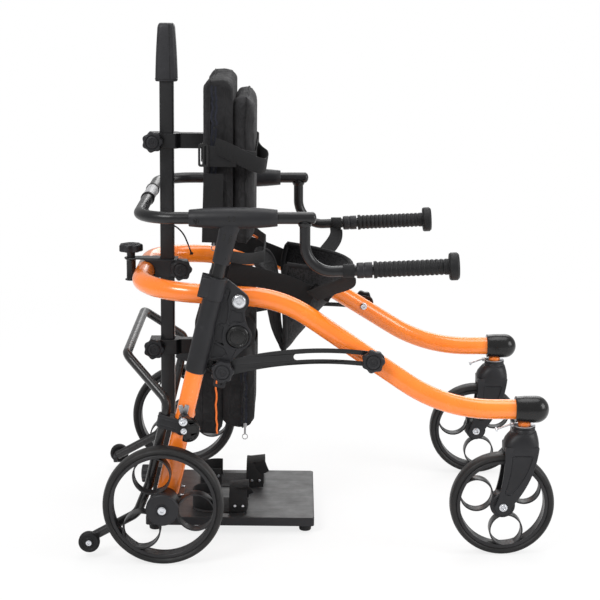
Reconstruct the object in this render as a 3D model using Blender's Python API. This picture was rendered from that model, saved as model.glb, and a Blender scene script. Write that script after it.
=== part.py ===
"""Pediatric standing frame on a wheeled walker frame.

Metres, +Z up, +X forward, +Y to the child's left. The floor is Z = 0.
Lengths along X are measured from the rear axle; the whole frame is then
shifted so that the origin lies under the middle of its length.
"""
import math

import bmesh
import bpy
from mathutils import Matrix, Vector

# Widths are taken from the plane of the legs
LEG_HALF = 0.268

# Rolling base
WHEELBASE = 0.649
TRACK_OUTSET = 0.042
REAR_TRACK = 2 * (LEG_HALF + TRACK_OUTSET)
REAR_WHEEL_R = 0.115
FRONT_WHEEL_R = 0.1007
TYRE_WIDTH = 0.036
TYRE_DEPTH = 0.014
TYRE_SHOULDER = 0.005
RIM_WIDTH = 0.030
RIM_WALL = 0.0062
SPOKE_RING_WALL = 0.003
REAR_SPOKE_TURN = math.radians(109)
FRONT_SPOKE_TURN = math.radians(39)
REAR_HUB_R = 0.031
FRONT_HUB_R = 0.024
HUB_REACH = 0.035
AXLE_R = 0.006
AXLE_HEAD_R = 0.0085
GAP = 0.0003
RUN_GAP = 0.0010

# Main tube
TUBE_R = 0.019
TUBE_REAR_X = -0.052
TUBE_REAR_Z = 0.510
TUBE_REAR_INSET = 0.063
TUBE_REAR_HALF = LEG_HALF - TUBE_REAR_INSET
TUBE_CORNER_R = 0.115
TUBE_KNEE_X = 0.226
TUBE_KNEE_Z = 0.4925
TUBE_KNEE_R = 0.220
TUBE_FOOT_X = 0.5366
TUBE_FRONT_Z = 0.2875
TUBE_FRONT_INSET = 0.0115
TUBE_FRONT_HALF = LEG_HALF - TUBE_FRONT_INSET
TUBE_FOOT_R = 0.300
TUBE_FRONT_X = WHEELBASE + 0.057
CAP_R = 0.0258
CAP_REAR_X = TUBE_FRONT_X - 0.0356
CAP_LENGTH = 0.065

# Casters
CASTER_TRAIL = 0.0394
FORK_TOP_Z = 0.2553
FORK_COLLAR_R = 0.0215
FORK_SHOULDER_Z = 0.224
FORK_BOTTOM_Z = 0.2065
FORK_LEG_THICK = 0.008
FORK_LEG_CLEAR = 0.003
FORK_FOOT_R = 0.016
FORK_TOP_REAR = (0.0012, 0.118)
FORK_TOP_FRONT = (0.0666, 0.118)
FORK_FRONT_BEND = (0.060, 0.050)
FORK_REAR_BEND = (0.004, 0.045)
FORK_CROWN_LAP = 0.0007
FRONT_HEAD_THICK = 0.003
STEM_R = 0.012
STEM_PIN_R = 0.006
STEM_PIN = 0.030
LOCK_PLATE_R = 0.0225
LOCK_PLATE_THICK = 0.002
LOCK_WIRE_R = 0.002
LOCK_WIRE_LENGTH = 0.034
LOCK_WIRE_DROP = 0.012
LOCK_WIRE_BEND_R = 0.006
LOCK_WIRE_FLAT = 0.010
LOCK_BAR_HALF = 0.009

# Legs, in a frame whose Z axis runs up the leg from the rear axle
LEG_TILT = math.radians(13.7)
LEG_R = 0.0172
LEG_TOP = 0.3045
AXLE_BOSS_R = 0.0185
SLEEVE_R = 0.0195
SLEEVE_NECK_R = 0.0183
SLEEVE_BOTTOM = 0.2573
SLEEVE_STEP = 0.350
SLEEVE_TOP = 0.4030
PLATE_OUT = 0.002
PLATE_THICK = 0.0073
PIVOT_AT = (0.0500, 0.4085)
PIVOT_LOBE_R = 0.0190
PIVOT_BOLT_R = 0.005
PIVOT_HEAD_R = 0.0134
PIVOT_BUSH_R = 0.013
BUTTON_AT = (0.0629, 0.3416)
BUTTON_LOBE_R = 0.0265
BUTTON_R = 0.0215
BUTTON_DEPTH = 0.005
PLATE_TIP_AT = (0.0545, 0.2960)
PLATE_TIP_R = 0.009
STRUT_PIN_AT = (0.0503, 0.2712)
LUG_R = 0.0115
LUG_THICK = 0.008
COLLAR_HEIGHT = 0.043
COLLAR_R = 0.0205
COLLAR_EAR_REACH = 0.029
COLLAR_EAR_HALF = 0.0125

# Slotted arc struts
STRUT_FRONT_X = 0.398
STRUT_FRONT_Z = 0.3857
STRUT_RISE = 0.0145
STRUT_WIDTH = 0.030
STRUT_THICK = 0.003
STRUT_SLOT_WIDTH = 0.0125
STRUT_SLOT_START = 0.143
STRUT_TIP_RUN = 0.0080
STRUT_INSET = 0.0096
STRUT_OUT = LEG_HALF - STRUT_INSET

# Star knobs
KNOB_R = 0.0225
KNOB_THICK = 0.016
KNOB_LOBES = 7
KNOB_LOBE_DEPTH = 0.0028
KNOB_CROWN = 0.004
KNOB_NECK_R = 0.0085
KNOB_NECK = 0.0085
STUD_R = 0.004

# Brakes and kick bar
BRAKE_HEIGHT = 0.150
BRAKE_CLAMP_HEIGHT = 0.026
BRAKE_CLAMP_WALL = 0.004
KICK_R = 0.009
KICK_BACK = 0.0355
KICK_CROSS_X = -0.075
KICK_CROSS_Z = 0.381
KICK_CROSS_INSET = 0.073
KICK_CROSS_HALF = LEG_HALF - KICK_CROSS_INSET
KICK_HEEL = (-0.054, 0.084)
KICK_TAIL_PAST = 0.003
TIP_WHEEL_AT = (-0.1455, 0.0325)
BRACKET_THICK = 0.007
BRACKET_R = 0.010
CAM_PIVOT = (0.0405, 0.2800)
CAM_PIN = (0.0350, 0.2575)
CAM_CENTRE = (0.0485, 0.2620)
CAM_R = 0.0225
CAM_THICK = 0.018
CAM_BOLT_R = 0.0035
CAM_HEAD_R = 0.0072
CAM_HEEL = (0.012, 0.006)
BOLT_HEAD_THICK = 0.003
TIP_WHEEL_R = 0.0205
TIP_WHEEL_WIDTH = 0.014
TIP_WHEEL_OUTSET = 0.0185
TIP_WHEEL_HALF = LEG_HALF + TIP_WHEEL_OUTSET
TIP_BOLT_R = 0.003
TIP_HEAD_R = 0.006
KICK_BENDS = (0.035, 0.040, 0.030, 0.030)

# Handlebar
POST_R = 0.012
# The handlebar can be lowered by this much before its post meets the leg tube.
BAR_LOWERING = 0.0200
POST_BOTTOM = LEG_TOP + BAR_LOWERING + 0.0015
BAR_Z = 0.6590
BAR_R = 0.0114
BAR_REAR_X = -0.0435
BAR_CORNER_R = 0.070
BAR_END_X = 0.125
SLEEVE_T_X = 0.1357
SLEEVE_T_LENGTH = 0.165
SLEEVE_T_R = 0.0202
SLEEVE_T_END_R = 0.0158
SOCKET_BOTTOM = 0.4725
SOCKET_TOP_R = 0.0178
SOCKET_BOTTOM_R = 0.0163
HANDLE_START_X = 0.150
HANDLE_END_X = {"right": 0.2905, "left": 0.2785}
HANDLE_R = 0.0113
DROP_R = 0.0101
DROP_BACK = 0.0215
DROP_BEND_R = 0.052
GRIP_Z = 0.5610
GRIP_RISE = math.radians(2.5)
GRIP_OFFSET = 0.1287
GRIP_LENGTH = 0.1590
GRIP_R = 0.0152
GRIP_END_R = 0.0262
GRIP_END_THICK = 0.018
GRIP_COLLAR_R = 0.0150
GRIP_COLLAR_BACK = 0.032

# Standing mast, in a frame that leans forward a little
MAST_X = -0.0136
MAST_LEAN = math.radians(0.6)
MAST_SIDE = 0.0275
MAST_WALL = 0.002
MAST_TOP = 0.998
HEAD_BOTTOM = 0.890
HEAD_TOP = 1.003
HEAD_BOTTOM_SIZE = (0.044, 0.040)
HEAD_TOP_SIZE = (0.033, 0.034)
CLAMP_Z = 0.515
CLAMP_HEIGHT = 0.036
CLAMP_HALF = 0.022
CLAMP_REAR = 0.0440
CLAMP_FRONT = 0.0420
CLAMP_EAR_HALF = 0.010
CLAMP_KNOB_X = 0.0290
CLAMP_KNOB_NECK = 0.013
TOP_PLATE_THICK = 0.003
TOP_PLATE_HALF = 0.017
SPINDLE_X = -0.0820
SPINDLE_FOOT_Z = 0.4880
SPINDLE_KNOB_R = 0.0245
SPINDLE_KNOB_NECK = 0.012
SPACER_R = 0.0095
SPACER_FOOT_R = 0.0130
UPPER_ARM_Z = 0.7725
LOWER_ARM_Z = 0.3520
ARM_HEIGHT = 0.030
ARM_HALF = 0.0115
ARM_COLLAR_HALF = 0.021
ARM_COLLAR_FRONT = 0.019
ARM_COLLAR_REAR = 0.036
ARM_KNOB_X = -0.0255

# Footplate
PLATE_REAR = -0.0353
PLATE_FRONT = 0.3015
PLATE_HALF = 0.155
PLATE_BOTTOM = 0.0190
PLATE_HEIGHT = 0.0175
PLATE_CORNER_R = 0.006
FOOT_R = 0.0130
FOOT_HEIGHT = 0.0125
FOOT_INSET = 0.018
SOCKET_HEIGHT = 0.062
SOCKET_HALF = 0.021
SOCKET_KNOB_Z = 0.077
SOCKET_KNOB_R = 0.0190

# Foot straps
STRAP_THICK = 0.003
SOLE_THICK = 0.0015
FOOT_LINE = 0.082
TOE_STRAP_HALF = 0.048
TOE_STRAP_HEIGHT = 0.048
TOE_STRAP_WIDTH = 0.034
HEEL_STRAP_RADIUS = 0.036
HEEL_STRAP_HEIGHT = 0.034
TOE_STRAP_X = {"right": 0.150, "left": 0.180}
HEEL_STRAP_X = {"right": 0.092, "left": 0.098}

# Cushions, in the mast's frame
CUSHION_GAP = 0.0006
UPPER_BACK = (0.062, 0.300, 0.338)
UPPER_BACK_Z = 0.749
UPPER_FRONT = (0.042, 0.270, 0.316)
UPPER_FRONT_Z = 0.730
UPPER_REACH = 0.0784
LOWER_BACK = (0.054, 0.240, 0.265)
LOWER_BACK_Z = 0.3165
LOWER_FRONT = (0.060, 0.230, 0.245)
LOWER_FRONT_Z = 0.3220
LOWER_REACH = 0.0600
CUSHION_EDGE = 0.012
CHEST_STRAP_Z = 0.738
CHEST_STRAP_HEIGHT = 0.028
CHEST_STRAP_THICK = 0.002
CHEST_STRAP_SLACK = 0.0008

# Saddle harness
SADDLE_HALF = 0.105
SADDLE_FRONT_X = 0.292
SADDLE_REAR_X = 0.197
SADDLE_TOP_Z = 0.565
SADDLE_BOTTOM_Z = 0.352
SADDLE_THICK = 0.014
SADDLE_NECK_HALF = 0.034
WEB_WIDTH = 0.022
WEB_THICK = 0.002
WEB_LOOP_BACK = 0.030
REAR_STRAP_SAG = 0.006
FRONT_STRAP_SAG = 0.022

# Tie cord that hangs from the handlebar beside the mast
TIE_RING_WALL = 0.0024
TIE_RING_HALF = 0.005
CORD_R = 0.0015
CORD_ROUTE = [
    (-0.0435, -0.030, 0.6442),
    (-0.0425, -0.032, 0.6360),
    (-0.0280, -0.040, 0.6225),
    (-0.0070, -0.048, 0.6140),
    (0.0140, -0.056, 0.6065),
    (0.0285, -0.062, 0.5930),
    (0.0375, -0.066, 0.5745),
    (0.0445, -0.068, 0.5550),
]

SIDES = ("right", "left")
LENGTH_MIDDLE = (WHEELBASE + FRONT_WHEEL_R + TIP_WHEEL_AT[0] - TIP_WHEEL_R) / 2

ACROSS = (math.pi / 2, 0.0, 0.0)
FORWARD = (0.0, math.pi / 2, 0.0)
FACING = {"right": (math.pi / 2, 0.0, 0.0), "left": (-math.pi / 2, 0.0, 0.0)}
SPANWISE = (math.pi / 2, 0.0, math.pi / 2)

LOOKS = {}


def outward(side):
    """Sign of Y on one side of the middle plane."""
    return 1.0 if side == "left" else -1.0


def clear_scene():
    for obj in list(bpy.data.objects):
        bpy.data.objects.remove(obj)


def add_look(name, colour, roughness, metallic=0.0):
    look = bpy.data.materials.new(name)
    look.use_nodes = True
    shader = look.node_tree.nodes["Principled BSDF"]
    shader.inputs["Base Color"].default_value = (*colour, 1.0)
    shader.inputs["Roughness"].default_value = roughness
    shader.inputs["Metallic"].default_value = metallic
    look.diffuse_color = (*colour, 1.0)
    LOOKS[name] = look


def make_looks():
    add_look("orange_paint", (0.95, 0.23, 0.02), 0.25)
    add_look("black_coat", (0.020, 0.020, 0.022), 0.40)
    add_look("black_plastic", (0.030, 0.030, 0.034), 0.50)
    add_look("grey_wheel", (0.045, 0.045, 0.052), 0.45)
    add_look("tyre_rubber", (0.060, 0.058, 0.058), 0.70)
    add_look("zinc", (0.70, 0.70, 0.72), 0.30, 1.0)
    add_look("grip_rubber", (0.025, 0.025, 0.027), 0.65)
    add_look("nylon", (0.018, 0.018, 0.019), 0.85)
    add_look("mesh_cloth", (0.022, 0.022, 0.024), 0.90)
    add_look("webbing", (0.020, 0.020, 0.021), 0.85)
    add_look("soft_leather", (0.020, 0.020, 0.021), 0.55)
    add_look("plate_laminate", (0.028, 0.028, 0.030), 0.55)


def add_empty(name, parent, at=(0.0, 0.0, 0.0), turn=(0.0, 0.0, 0.0)):
    empty = bpy.data.objects.new(name, None)
    bpy.context.collection.objects.link(empty)
    place(empty, parent, at, turn)
    return empty


def place(obj, parent, at=(0.0, 0.0, 0.0), turn=(0.0, 0.0, 0.0)):
    obj.parent = parent
    obj.location = at
    obj.rotation_euler = turn


def add_object(name, bm, look, parent, at=(0.0, 0.0, 0.0), turn=(0.0, 0.0, 0.0)):
    bmesh.ops.recalc_face_normals(bm, faces=bm.faces)
    mesh = bpy.data.meshes.new(name)
    bm.to_mesh(mesh)
    bm.free()
    mesh.materials.append(LOOKS[look])
    mesh.shade_smooth()
    mesh.set_sharp_from_angle(angle=math.radians(35))
    obj = bpy.data.objects.new(name, mesh)
    bpy.context.collection.objects.link(obj)
    place(obj, parent, at, turn)
    return obj


def combine(obj, other, operation):
    """Join to obj, or cut from it, the solid other, which is then left out."""
    other.hide_render = True
    other.display_type = "WIRE"
    step = obj.modifiers.new(operation.lower(), "BOOLEAN")
    step.object = other
    step.operation = operation
    step.solver = "EXACT"


def cut(obj, cutter):
    combine(obj, cutter, "DIFFERENCE")


def join(obj, other):
    combine(obj, other, "UNION")


def turned(profile, segments, ring=False):
    """A body turned about Z from (radius, height) points; ring closes the profile."""
    bm = bmesh.new()
    points = [bm.verts.new((radius, 0.0, height)) for radius, height in profile]
    pairs = list(zip(points, points[1:]))
    if ring:
        pairs.append((points[-1], points[0]))
    edges = [bm.edges.new(pair) for pair in pairs]
    bmesh.ops.spin(bm, geom=points + edges, axis=(0, 0, 1), cent=(0, 0, 0),
                   angle=2 * math.pi, steps=segments, use_merge=True)
    bmesh.ops.remove_doubles(bm, verts=bm.verts, dist=1e-6)
    loose = [edge for edge in bm.edges if not edge.link_faces]
    bmesh.ops.delete(bm, geom=loose, context="EDGES")
    return bm


def bore_r(radius, segments=12):
    """Radius of a faceted hole whose flats clear a round rod."""
    return (radius + GAP) / math.cos(math.pi / segments)


def rod(radius, low, high, segments=12):
    return turned([(0, low), (radius, low), (radius, high), (0, high)], segments)


def pipe(outer, inner, low, high, segments=12):
    profile = [(inner, low), (outer, low), (outer, high), (inner, high)]
    return turned(profile, segments, ring=True)


def loft(rings):
    """A closed body through rings of equally many points."""
    bm = bmesh.new()
    loops = [[bm.verts.new(point) for point in ring] for ring in rings]
    count = len(loops[0])
    for low, high in zip(loops, loops[1:]):
        for i in range(count):
            j = (i + 1) % count
            bm.faces.new((low[i], low[j], high[j], high[i]))
    bm.faces.new(list(reversed(loops[0])))
    bm.faces.new(loops[-1])
    return bm


def oval(half_x, half_y, height, centre_x=0.0, count=16, squareness=2.0):
    """A ring of points on a superellipse at one height."""
    points = []
    for i in range(count):
        angle = 2 * math.pi * i / count
        c = math.cos(angle)
        s = math.sin(angle)
        x = math.copysign(abs(c) ** (2 / squareness), c) * half_x
        y = math.copysign(abs(s) ** (2 / squareness), s) * half_y
        points.append(Vector((centre_x + x, y, height)))
    return points


def arc(centre, radius, start, stop, count):
    """Points on a circular arc; the angles are in degrees."""
    points = []
    for i in range(count + 1):
        angle = math.radians(start + (stop - start) * i / count)
        x = centre[0] + radius * math.cos(angle)
        y = centre[1] + radius * math.sin(angle)
        points.append((x, y))
    return points


def circle(centre, radius, count=12):
    return arc(centre, radius, 0, 360, count)[:-1]


def curve_between(start, control, stop, count):
    """Points on a quadratic curve, without its first point."""
    points = []
    for i in range(1, count + 1):
        t = i / count
        weights = ((1 - t) ** 2, 2 * t * (1 - t), t ** 2)
        x = sum(w * p[0] for w, p in zip(weights, (start, control, stop)))
        y = sum(w * p[1] for w, p in zip(weights, (start, control, stop)))
        points.append((x, y))
    return points


def rounded_rectangle(x0, x1, y0, y1, radius, steps=2):
    corners = (((x1 - radius, y1 - radius), 0), ((x0 + radius, y1 - radius), 90),
               ((x0 + radius, y0 + radius), 180), ((x1 - radius, y0 + radius), 270))
    points = []
    for centre, start in corners:
        points += arc(centre, radius, start, start + 90, steps)
    return points


def rectangle(x0, x1, y0, y1):
    return [(x0, y0), (x1, y0), (x1, y1), (x0, y1)]


def plate(loops, low, high):
    """An outline with holes, extruded along Z between two heights."""
    curve = bpy.data.curves.new("outline", "CURVE")
    curve.dimensions = "2D"
    curve.fill_mode = "BOTH"
    curve.extrude = (high - low) / 2
    for loop in loops:
        spline = curve.splines.new("POLY")
        spline.points.add(len(loop) - 1)
        for point, (x, y) in zip(spline.points, loop):
            point.co = (x, y, 0.0, 1.0)
        spline.use_cyclic_u = True
    bm = mesh_of(curve)
    bmesh.ops.translate(bm, verts=bm.verts, vec=(0, 0, (high + low) / 2))
    return bm


def mesh_of(curve):
    """The welded mesh of a curve, which is then removed."""
    guide = bpy.data.objects.new("guide", curve)
    bpy.context.collection.objects.link(guide)
    depsgraph = bpy.context.evaluated_depsgraph_get()
    mesh = bpy.data.meshes.new_from_object(guide.evaluated_get(depsgraph))
    bm = bmesh.new()
    bm.from_mesh(mesh)
    bmesh.ops.remove_doubles(bm, verts=bm.verts, dist=1e-6)
    bpy.data.objects.remove(guide)
    bpy.data.meshes.remove(mesh)
    return bm


def rounded_path(corners, radii, step=math.radians(10)):
    """Straight runs through 3-D corners, each bend an arc of its radius."""
    corners = [Vector(c) for c in corners]
    points = [corners[0]]
    for before, corner, after, radius in zip(corners, corners[1:], corners[2:], radii):
        into = (corner - before).normalized()
        out = (after - corner).normalized()
        turn = into.angle(out)
        if turn < 1e-4:
            continue
        reach = radius * math.tan(turn / 2)
        inward = (out - into).normalized()
        centre = corner + inward * (radius / math.cos(turn / 2))
        first = corner - into * reach - centre
        axis = into.cross(out).normalized()
        count = max(2, math.ceil(turn / step))
        for i in range(count + 1):
            points.append(centre + Matrix.Rotation(turn * i / count, 3, axis) @ first)
    points.append(corners[-1])
    return points


def tube(points, radius, sides=12):
    """A round solid bar along a path."""
    curve = bpy.data.curves.new("path", "CURVE")
    curve.dimensions = "3D"
    curve.bevel_depth = radius
    curve.bevel_resolution = (sides - 4) // 2
    curve.use_fill_caps = True
    spline = curve.splines.new("POLY")
    spline.points.add(len(points) - 1)
    for target, point in zip(spline.points, points):
        target.co = (*point, 1.0)
    return mesh_of(curve)


def soft_block(size, edge, steps=2):
    """A closed block with rounded edges, about its centre."""
    bm = bmesh.new()
    bmesh.ops.create_cube(bm, size=1.0)
    bmesh.ops.scale(bm, vec=size, verts=bm.verts)
    bmesh.ops.bevel(bm, geom=bm.edges, offset=edge, segments=steps, affect="EDGES",
                    profile=0.5, clamp_overlap=True)
    return bm


def star_ring(radius, height):
    """Points round a knob with rounded lobes."""
    count = KNOB_LOBES * 2
    points = []
    for i in range(count):
        angle = 2 * math.pi * i / count
        lobe = KNOB_LOBE_DEPTH * (math.cos(KNOB_LOBES * angle) - 1) / 2
        reach = radius + lobe * radius / KNOB_R
        points.append(Vector((reach * math.cos(angle), reach * math.sin(angle), height)))
    return points


def round_ring(radius, height):
    return oval(radius, radius, height, count=KNOB_LOBES * 2)


def star_knob(name, parent, at, turn, stud, radius=KNOB_R, neck=KNOB_NECK):
    """A star knob whose stud runs down its own -Z from the neck's end."""
    rings = [round_ring(STUD_R, -neck - stud),
             round_ring(STUD_R, -neck),
             round_ring(KNOB_NECK_R, -neck),
             round_ring(KNOB_NECK_R, 0.0),
             star_ring(radius, 0.0),
             star_ring(radius, KNOB_THICK - KNOB_CROWN),
             star_ring(radius - KNOB_CROWN, KNOB_THICK)]
    return add_object(name, loft(rings), "black_plastic", parent, at, turn)


def make_wheel(side, end, parent, x, radius, half_y, hub_r, spoke_turn, hub_low, hub_high):
    """Tyre on a rim, with three deep ring spokes round the hub."""
    at = (x, outward(side) * half_y, radius)
    turn = FACING[side]
    seat = radius - TYRE_DEPTH
    rim_inner = seat - RIM_WALL
    half = RIM_WIDTH / 2
    name = f"{end}_wheel_{side}"
    tyre_half = TYRE_WIDTH / 2
    crown = [(rim_inner, -half), (radius - TYRE_SHOULDER, -tyre_half),
             (radius, -tyre_half + TYRE_SHOULDER)]
    crown += [(r, -z) for r, z in reversed(crown)]
    rim = add_object(name, turned(crown, 30, ring=True), "grey_wheel", parent, at, turn)
    hub = add_object(f"{name}_hub", rod(hub_r, hub_low, hub_high, 16),
                     "grey_wheel", parent, at, turn)
    join(rim, hub)
    hub_seat = hub_r * 0.86
    ring_r = (rim_inner + RIM_WALL * 0.8 - hub_seat) / 2
    centre_r = hub_seat + ring_r
    depth = half - 0.002
    for i in range(3):
        angle = spoke_turn + i * 2 * math.pi / 3
        offset = Vector((centre_r * math.cos(angle), 0.0, centre_r * math.sin(angle)))
        ring = add_object(f"{name}_spoke_{i}",
                          pipe(ring_r, ring_r - SPOKE_RING_WALL, -depth, depth, 14),
                          "grey_wheel", parent, Vector(at) + offset, turn)
        join(rim, ring)
    clear = add_object(f"{name}_clear", rod(bore_r(AXLE_R), hub_low - 0.01, hub_high + 0.01),
                       "grey_wheel", parent, at, turn)
    cut(rim, clear)


def main_tube_corners(side):
    """Corners of one side of the main tube, from the front end to the rear bend."""
    y = outward(side)
    return [Vector((TUBE_FRONT_X, y * TUBE_FRONT_HALF, TUBE_FRONT_Z)),
            Vector((TUBE_FOOT_X, y * TUBE_FRONT_HALF, TUBE_FRONT_Z)),
            Vector((TUBE_KNEE_X, y * TUBE_REAR_HALF, TUBE_KNEE_Z)),
            Vector((TUBE_REAR_X, y * TUBE_REAR_HALF, TUBE_REAR_Z))]


def tube_half_at(x):
    """How far the sloping run of the main tube lies from the middle plane."""
    share = (x - TUBE_KNEE_X) / (TUBE_FOOT_X - TUBE_KNEE_X)
    share = min(max(share, 0.0), 1.0)
    return TUBE_REAR_HALF + share * (TUBE_FRONT_HALF - TUBE_REAR_HALF)


def make_main_tube(root):
    corners = main_tube_corners("right") + list(reversed(main_tube_corners("left")))
    radii = [TUBE_FOOT_R, TUBE_KNEE_R, TUBE_CORNER_R]
    radii = radii + list(reversed(radii))
    points = rounded_path(corners, radii, math.radians(13))
    add_object("main_tube", tube(points, TUBE_R, 12), "orange_paint", root)


def make_front_end(side, root):
    """Dome cap, caster stem and swivel lock at the front of the main tube."""
    y = outward(side) * TUBE_FRONT_HALF
    stem_x = WHEELBASE + CASTER_TRAIL
    bore = bore_r(TUBE_R, 16)
    dome = CAP_R * 0.95
    profile = [(bore, 0.0), (CAP_R - 0.002, 0.0), (CAP_R, 0.010),
               (CAP_R, CAP_LENGTH - dome)]
    for i in range(1, 3):
        angle = i * math.pi / 6
        profile.append((CAP_R * math.cos(angle),
                        CAP_LENGTH - dome + dome * math.sin(angle)))
    depth = TUBE_FRONT_X - CAP_REAR_X + GAP
    profile += [(0.0, CAP_LENGTH), (0.0, depth), (bore, depth)]
    cap = add_object(f"end_cap_{side}", turned(profile, 16, ring=True), "black_plastic",
                     root, (CAP_REAR_X, y, TUBE_FRONT_Z), FORWARD)
    top = TUBE_FRONT_Z - TUBE_R - GAP
    low = FORK_TOP_Z + GAP
    stem = turned([(0, low - STEM_PIN), (STEM_PIN_R, low - STEM_PIN), (STEM_PIN_R, low),
                   (STEM_R, low), (STEM_R, top), (0, top)], 12)
    join(cap, add_object(f"end_cap_{side}_stem", stem, "orange_paint", root,
                         (stem_x, y, 0.0)))
    join_swivel_lock(cap, side, root, stem_x, y)


def join_swivel_lock(cap, side, root, stem_x, y):
    """Spring plate round the stem with a bent wire handle behind it."""
    low = FORK_TOP_Z + GAP
    high = low + LOCK_PLATE_THICK
    join(cap, add_object(f"lock_plate_{side}", rod(LOCK_PLATE_R, low, high, 14), "zinc",
                         root, (stem_x, y, 0.0)))
    middle = (low + high) / 2 + LOCK_WIRE_R
    reach = LOCK_PLATE_R - 0.003
    wire = rounded_path([(-reach, 0, middle), (-reach - LOCK_WIRE_FLAT, 0, middle),
                         (-reach - LOCK_WIRE_LENGTH, 0, middle - LOCK_WIRE_DROP)],
                        [LOCK_WIRE_BEND_R])
    join(cap, add_object(f"lock_wire_{side}", tube(wire, LOCK_WIRE_R, 6), "zinc", root,
                         (stem_x, y, 0.0)))
    end = wire[-1]
    join(cap, add_object(f"lock_bar_{side}", rod(LOCK_WIRE_R * 1.2, -LOCK_BAR_HALF, LOCK_BAR_HALF, 8),
                         "zinc", root, (stem_x + end.x, y, end.z), ACROSS))


def make_fork(side, root):
    """Caster fork: a crown that swells from its collar into two curved legs."""
    pivot = add_empty(f"caster_axis_{side}", root,
                      (WHEELBASE + CASTER_TRAIL, outward(side) * TUBE_FRONT_HALF, 0.0))
    back = -CASTER_TRAIL
    leg_in = TYRE_WIDTH / 2 + FORK_LEG_CLEAR
    half_y = leg_in + FORK_LEG_THICK
    middle_x = back + (FORK_TOP_FRONT[0] + FORK_TOP_REAR[0]) / 2
    half_x = (FORK_TOP_FRONT[0] - FORK_TOP_REAR[0]) / 2 + 2 * FORK_CROWN_LAP
    crown_y = half_y + FORK_CROWN_LAP
    rings = [oval(half_x, crown_y, FORK_BOTTOM_Z, middle_x, squareness=3.5),
             oval(half_x, crown_y, FORK_SHOULDER_Z, middle_x, squareness=3.0),
             oval(half_x * 0.86, crown_y * 0.93, FORK_SHOULDER_Z + 0.013, middle_x * 0.6,
                  squareness=2.4),
             oval(FORK_COLLAR_R, FORK_COLLAR_R, FORK_TOP_Z - 0.009),
             oval(FORK_COLLAR_R, FORK_COLLAR_R, FORK_TOP_Z)]
    fork = add_object(f"caster_fork_{side}", loft(rings), "black_plastic", pivot)
    depth = STEM_PIN + GAP
    cut(fork, add_object(f"caster_fork_{side}_bore",
                         rod(bore_r(STEM_PIN_R), FORK_TOP_Z - depth, FORK_TOP_Z + 0.01),
                         "black_plastic", pivot))
    outline = arc((0, 0), FORK_FOOT_R, 180, 360, 6)
    outline += curve_between((FORK_FOOT_R, 0.0), FORK_FRONT_BEND, FORK_TOP_FRONT, 4)
    outline += [FORK_TOP_REAR]
    outline += curve_between(FORK_TOP_REAR, FORK_REAR_BEND, (-FORK_FOOT_R, 0.0), 4)[:-1]
    for sign in (-1, 1):
        low = leg_in if sign > 0 else -leg_in - FORK_LEG_THICK
        leg = add_object(f"caster_fork_{side}_leg_{sign + 1}",
                         plate([outline], low, low + FORK_LEG_THICK),
                         "black_plastic", pivot, (back, 0.0, FRONT_WHEEL_R), ACROSS)
        join(fork, leg)
    head = half_y + FRONT_HEAD_THICK
    profile = [(0, -head), (AXLE_HEAD_R, -head), (AXLE_HEAD_R, -leg_in - 0.004),
               (AXLE_R, -leg_in - 0.004), (AXLE_R, leg_in + 0.004),
               (AXLE_HEAD_R, leg_in + 0.004), (AXLE_HEAD_R, head), (0, head)]
    join(fork, add_object(f"front_axle_{side}", turned(profile, 12), "zinc", pivot,
                          (back, 0.0, FRONT_WHEEL_R), ACROSS))


def make_leg(side, frame):
    """Leg tube with the axle boss at its foot."""
    leg = add_object(f"leg_tube_{side}", rod(LEG_R, 0.0, LEG_TOP, 16), "orange_paint",
                     frame)
    boss = add_object(f"leg_tube_{side}_boss", rod(AXLE_BOSS_R, -LEG_R, LEG_R, 16),
                      "orange_paint", frame, turn=ACROSS)
    join(leg, boss)
    face = REAR_TRACK / 2 - LEG_HALF + HUB_REACH + RUN_GAP
    profile = [(0, 0), (AXLE_R, 0), (AXLE_R, face), (AXLE_HEAD_R, face),
               (AXLE_HEAD_R, face + BOLT_HEAD_THICK), (0, face + BOLT_HEAD_THICK)]
    join(leg, add_object(f"rear_axle_{side}", turned(profile, 12), "zinc", frame,
                         turn=FACING[side]))


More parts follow.
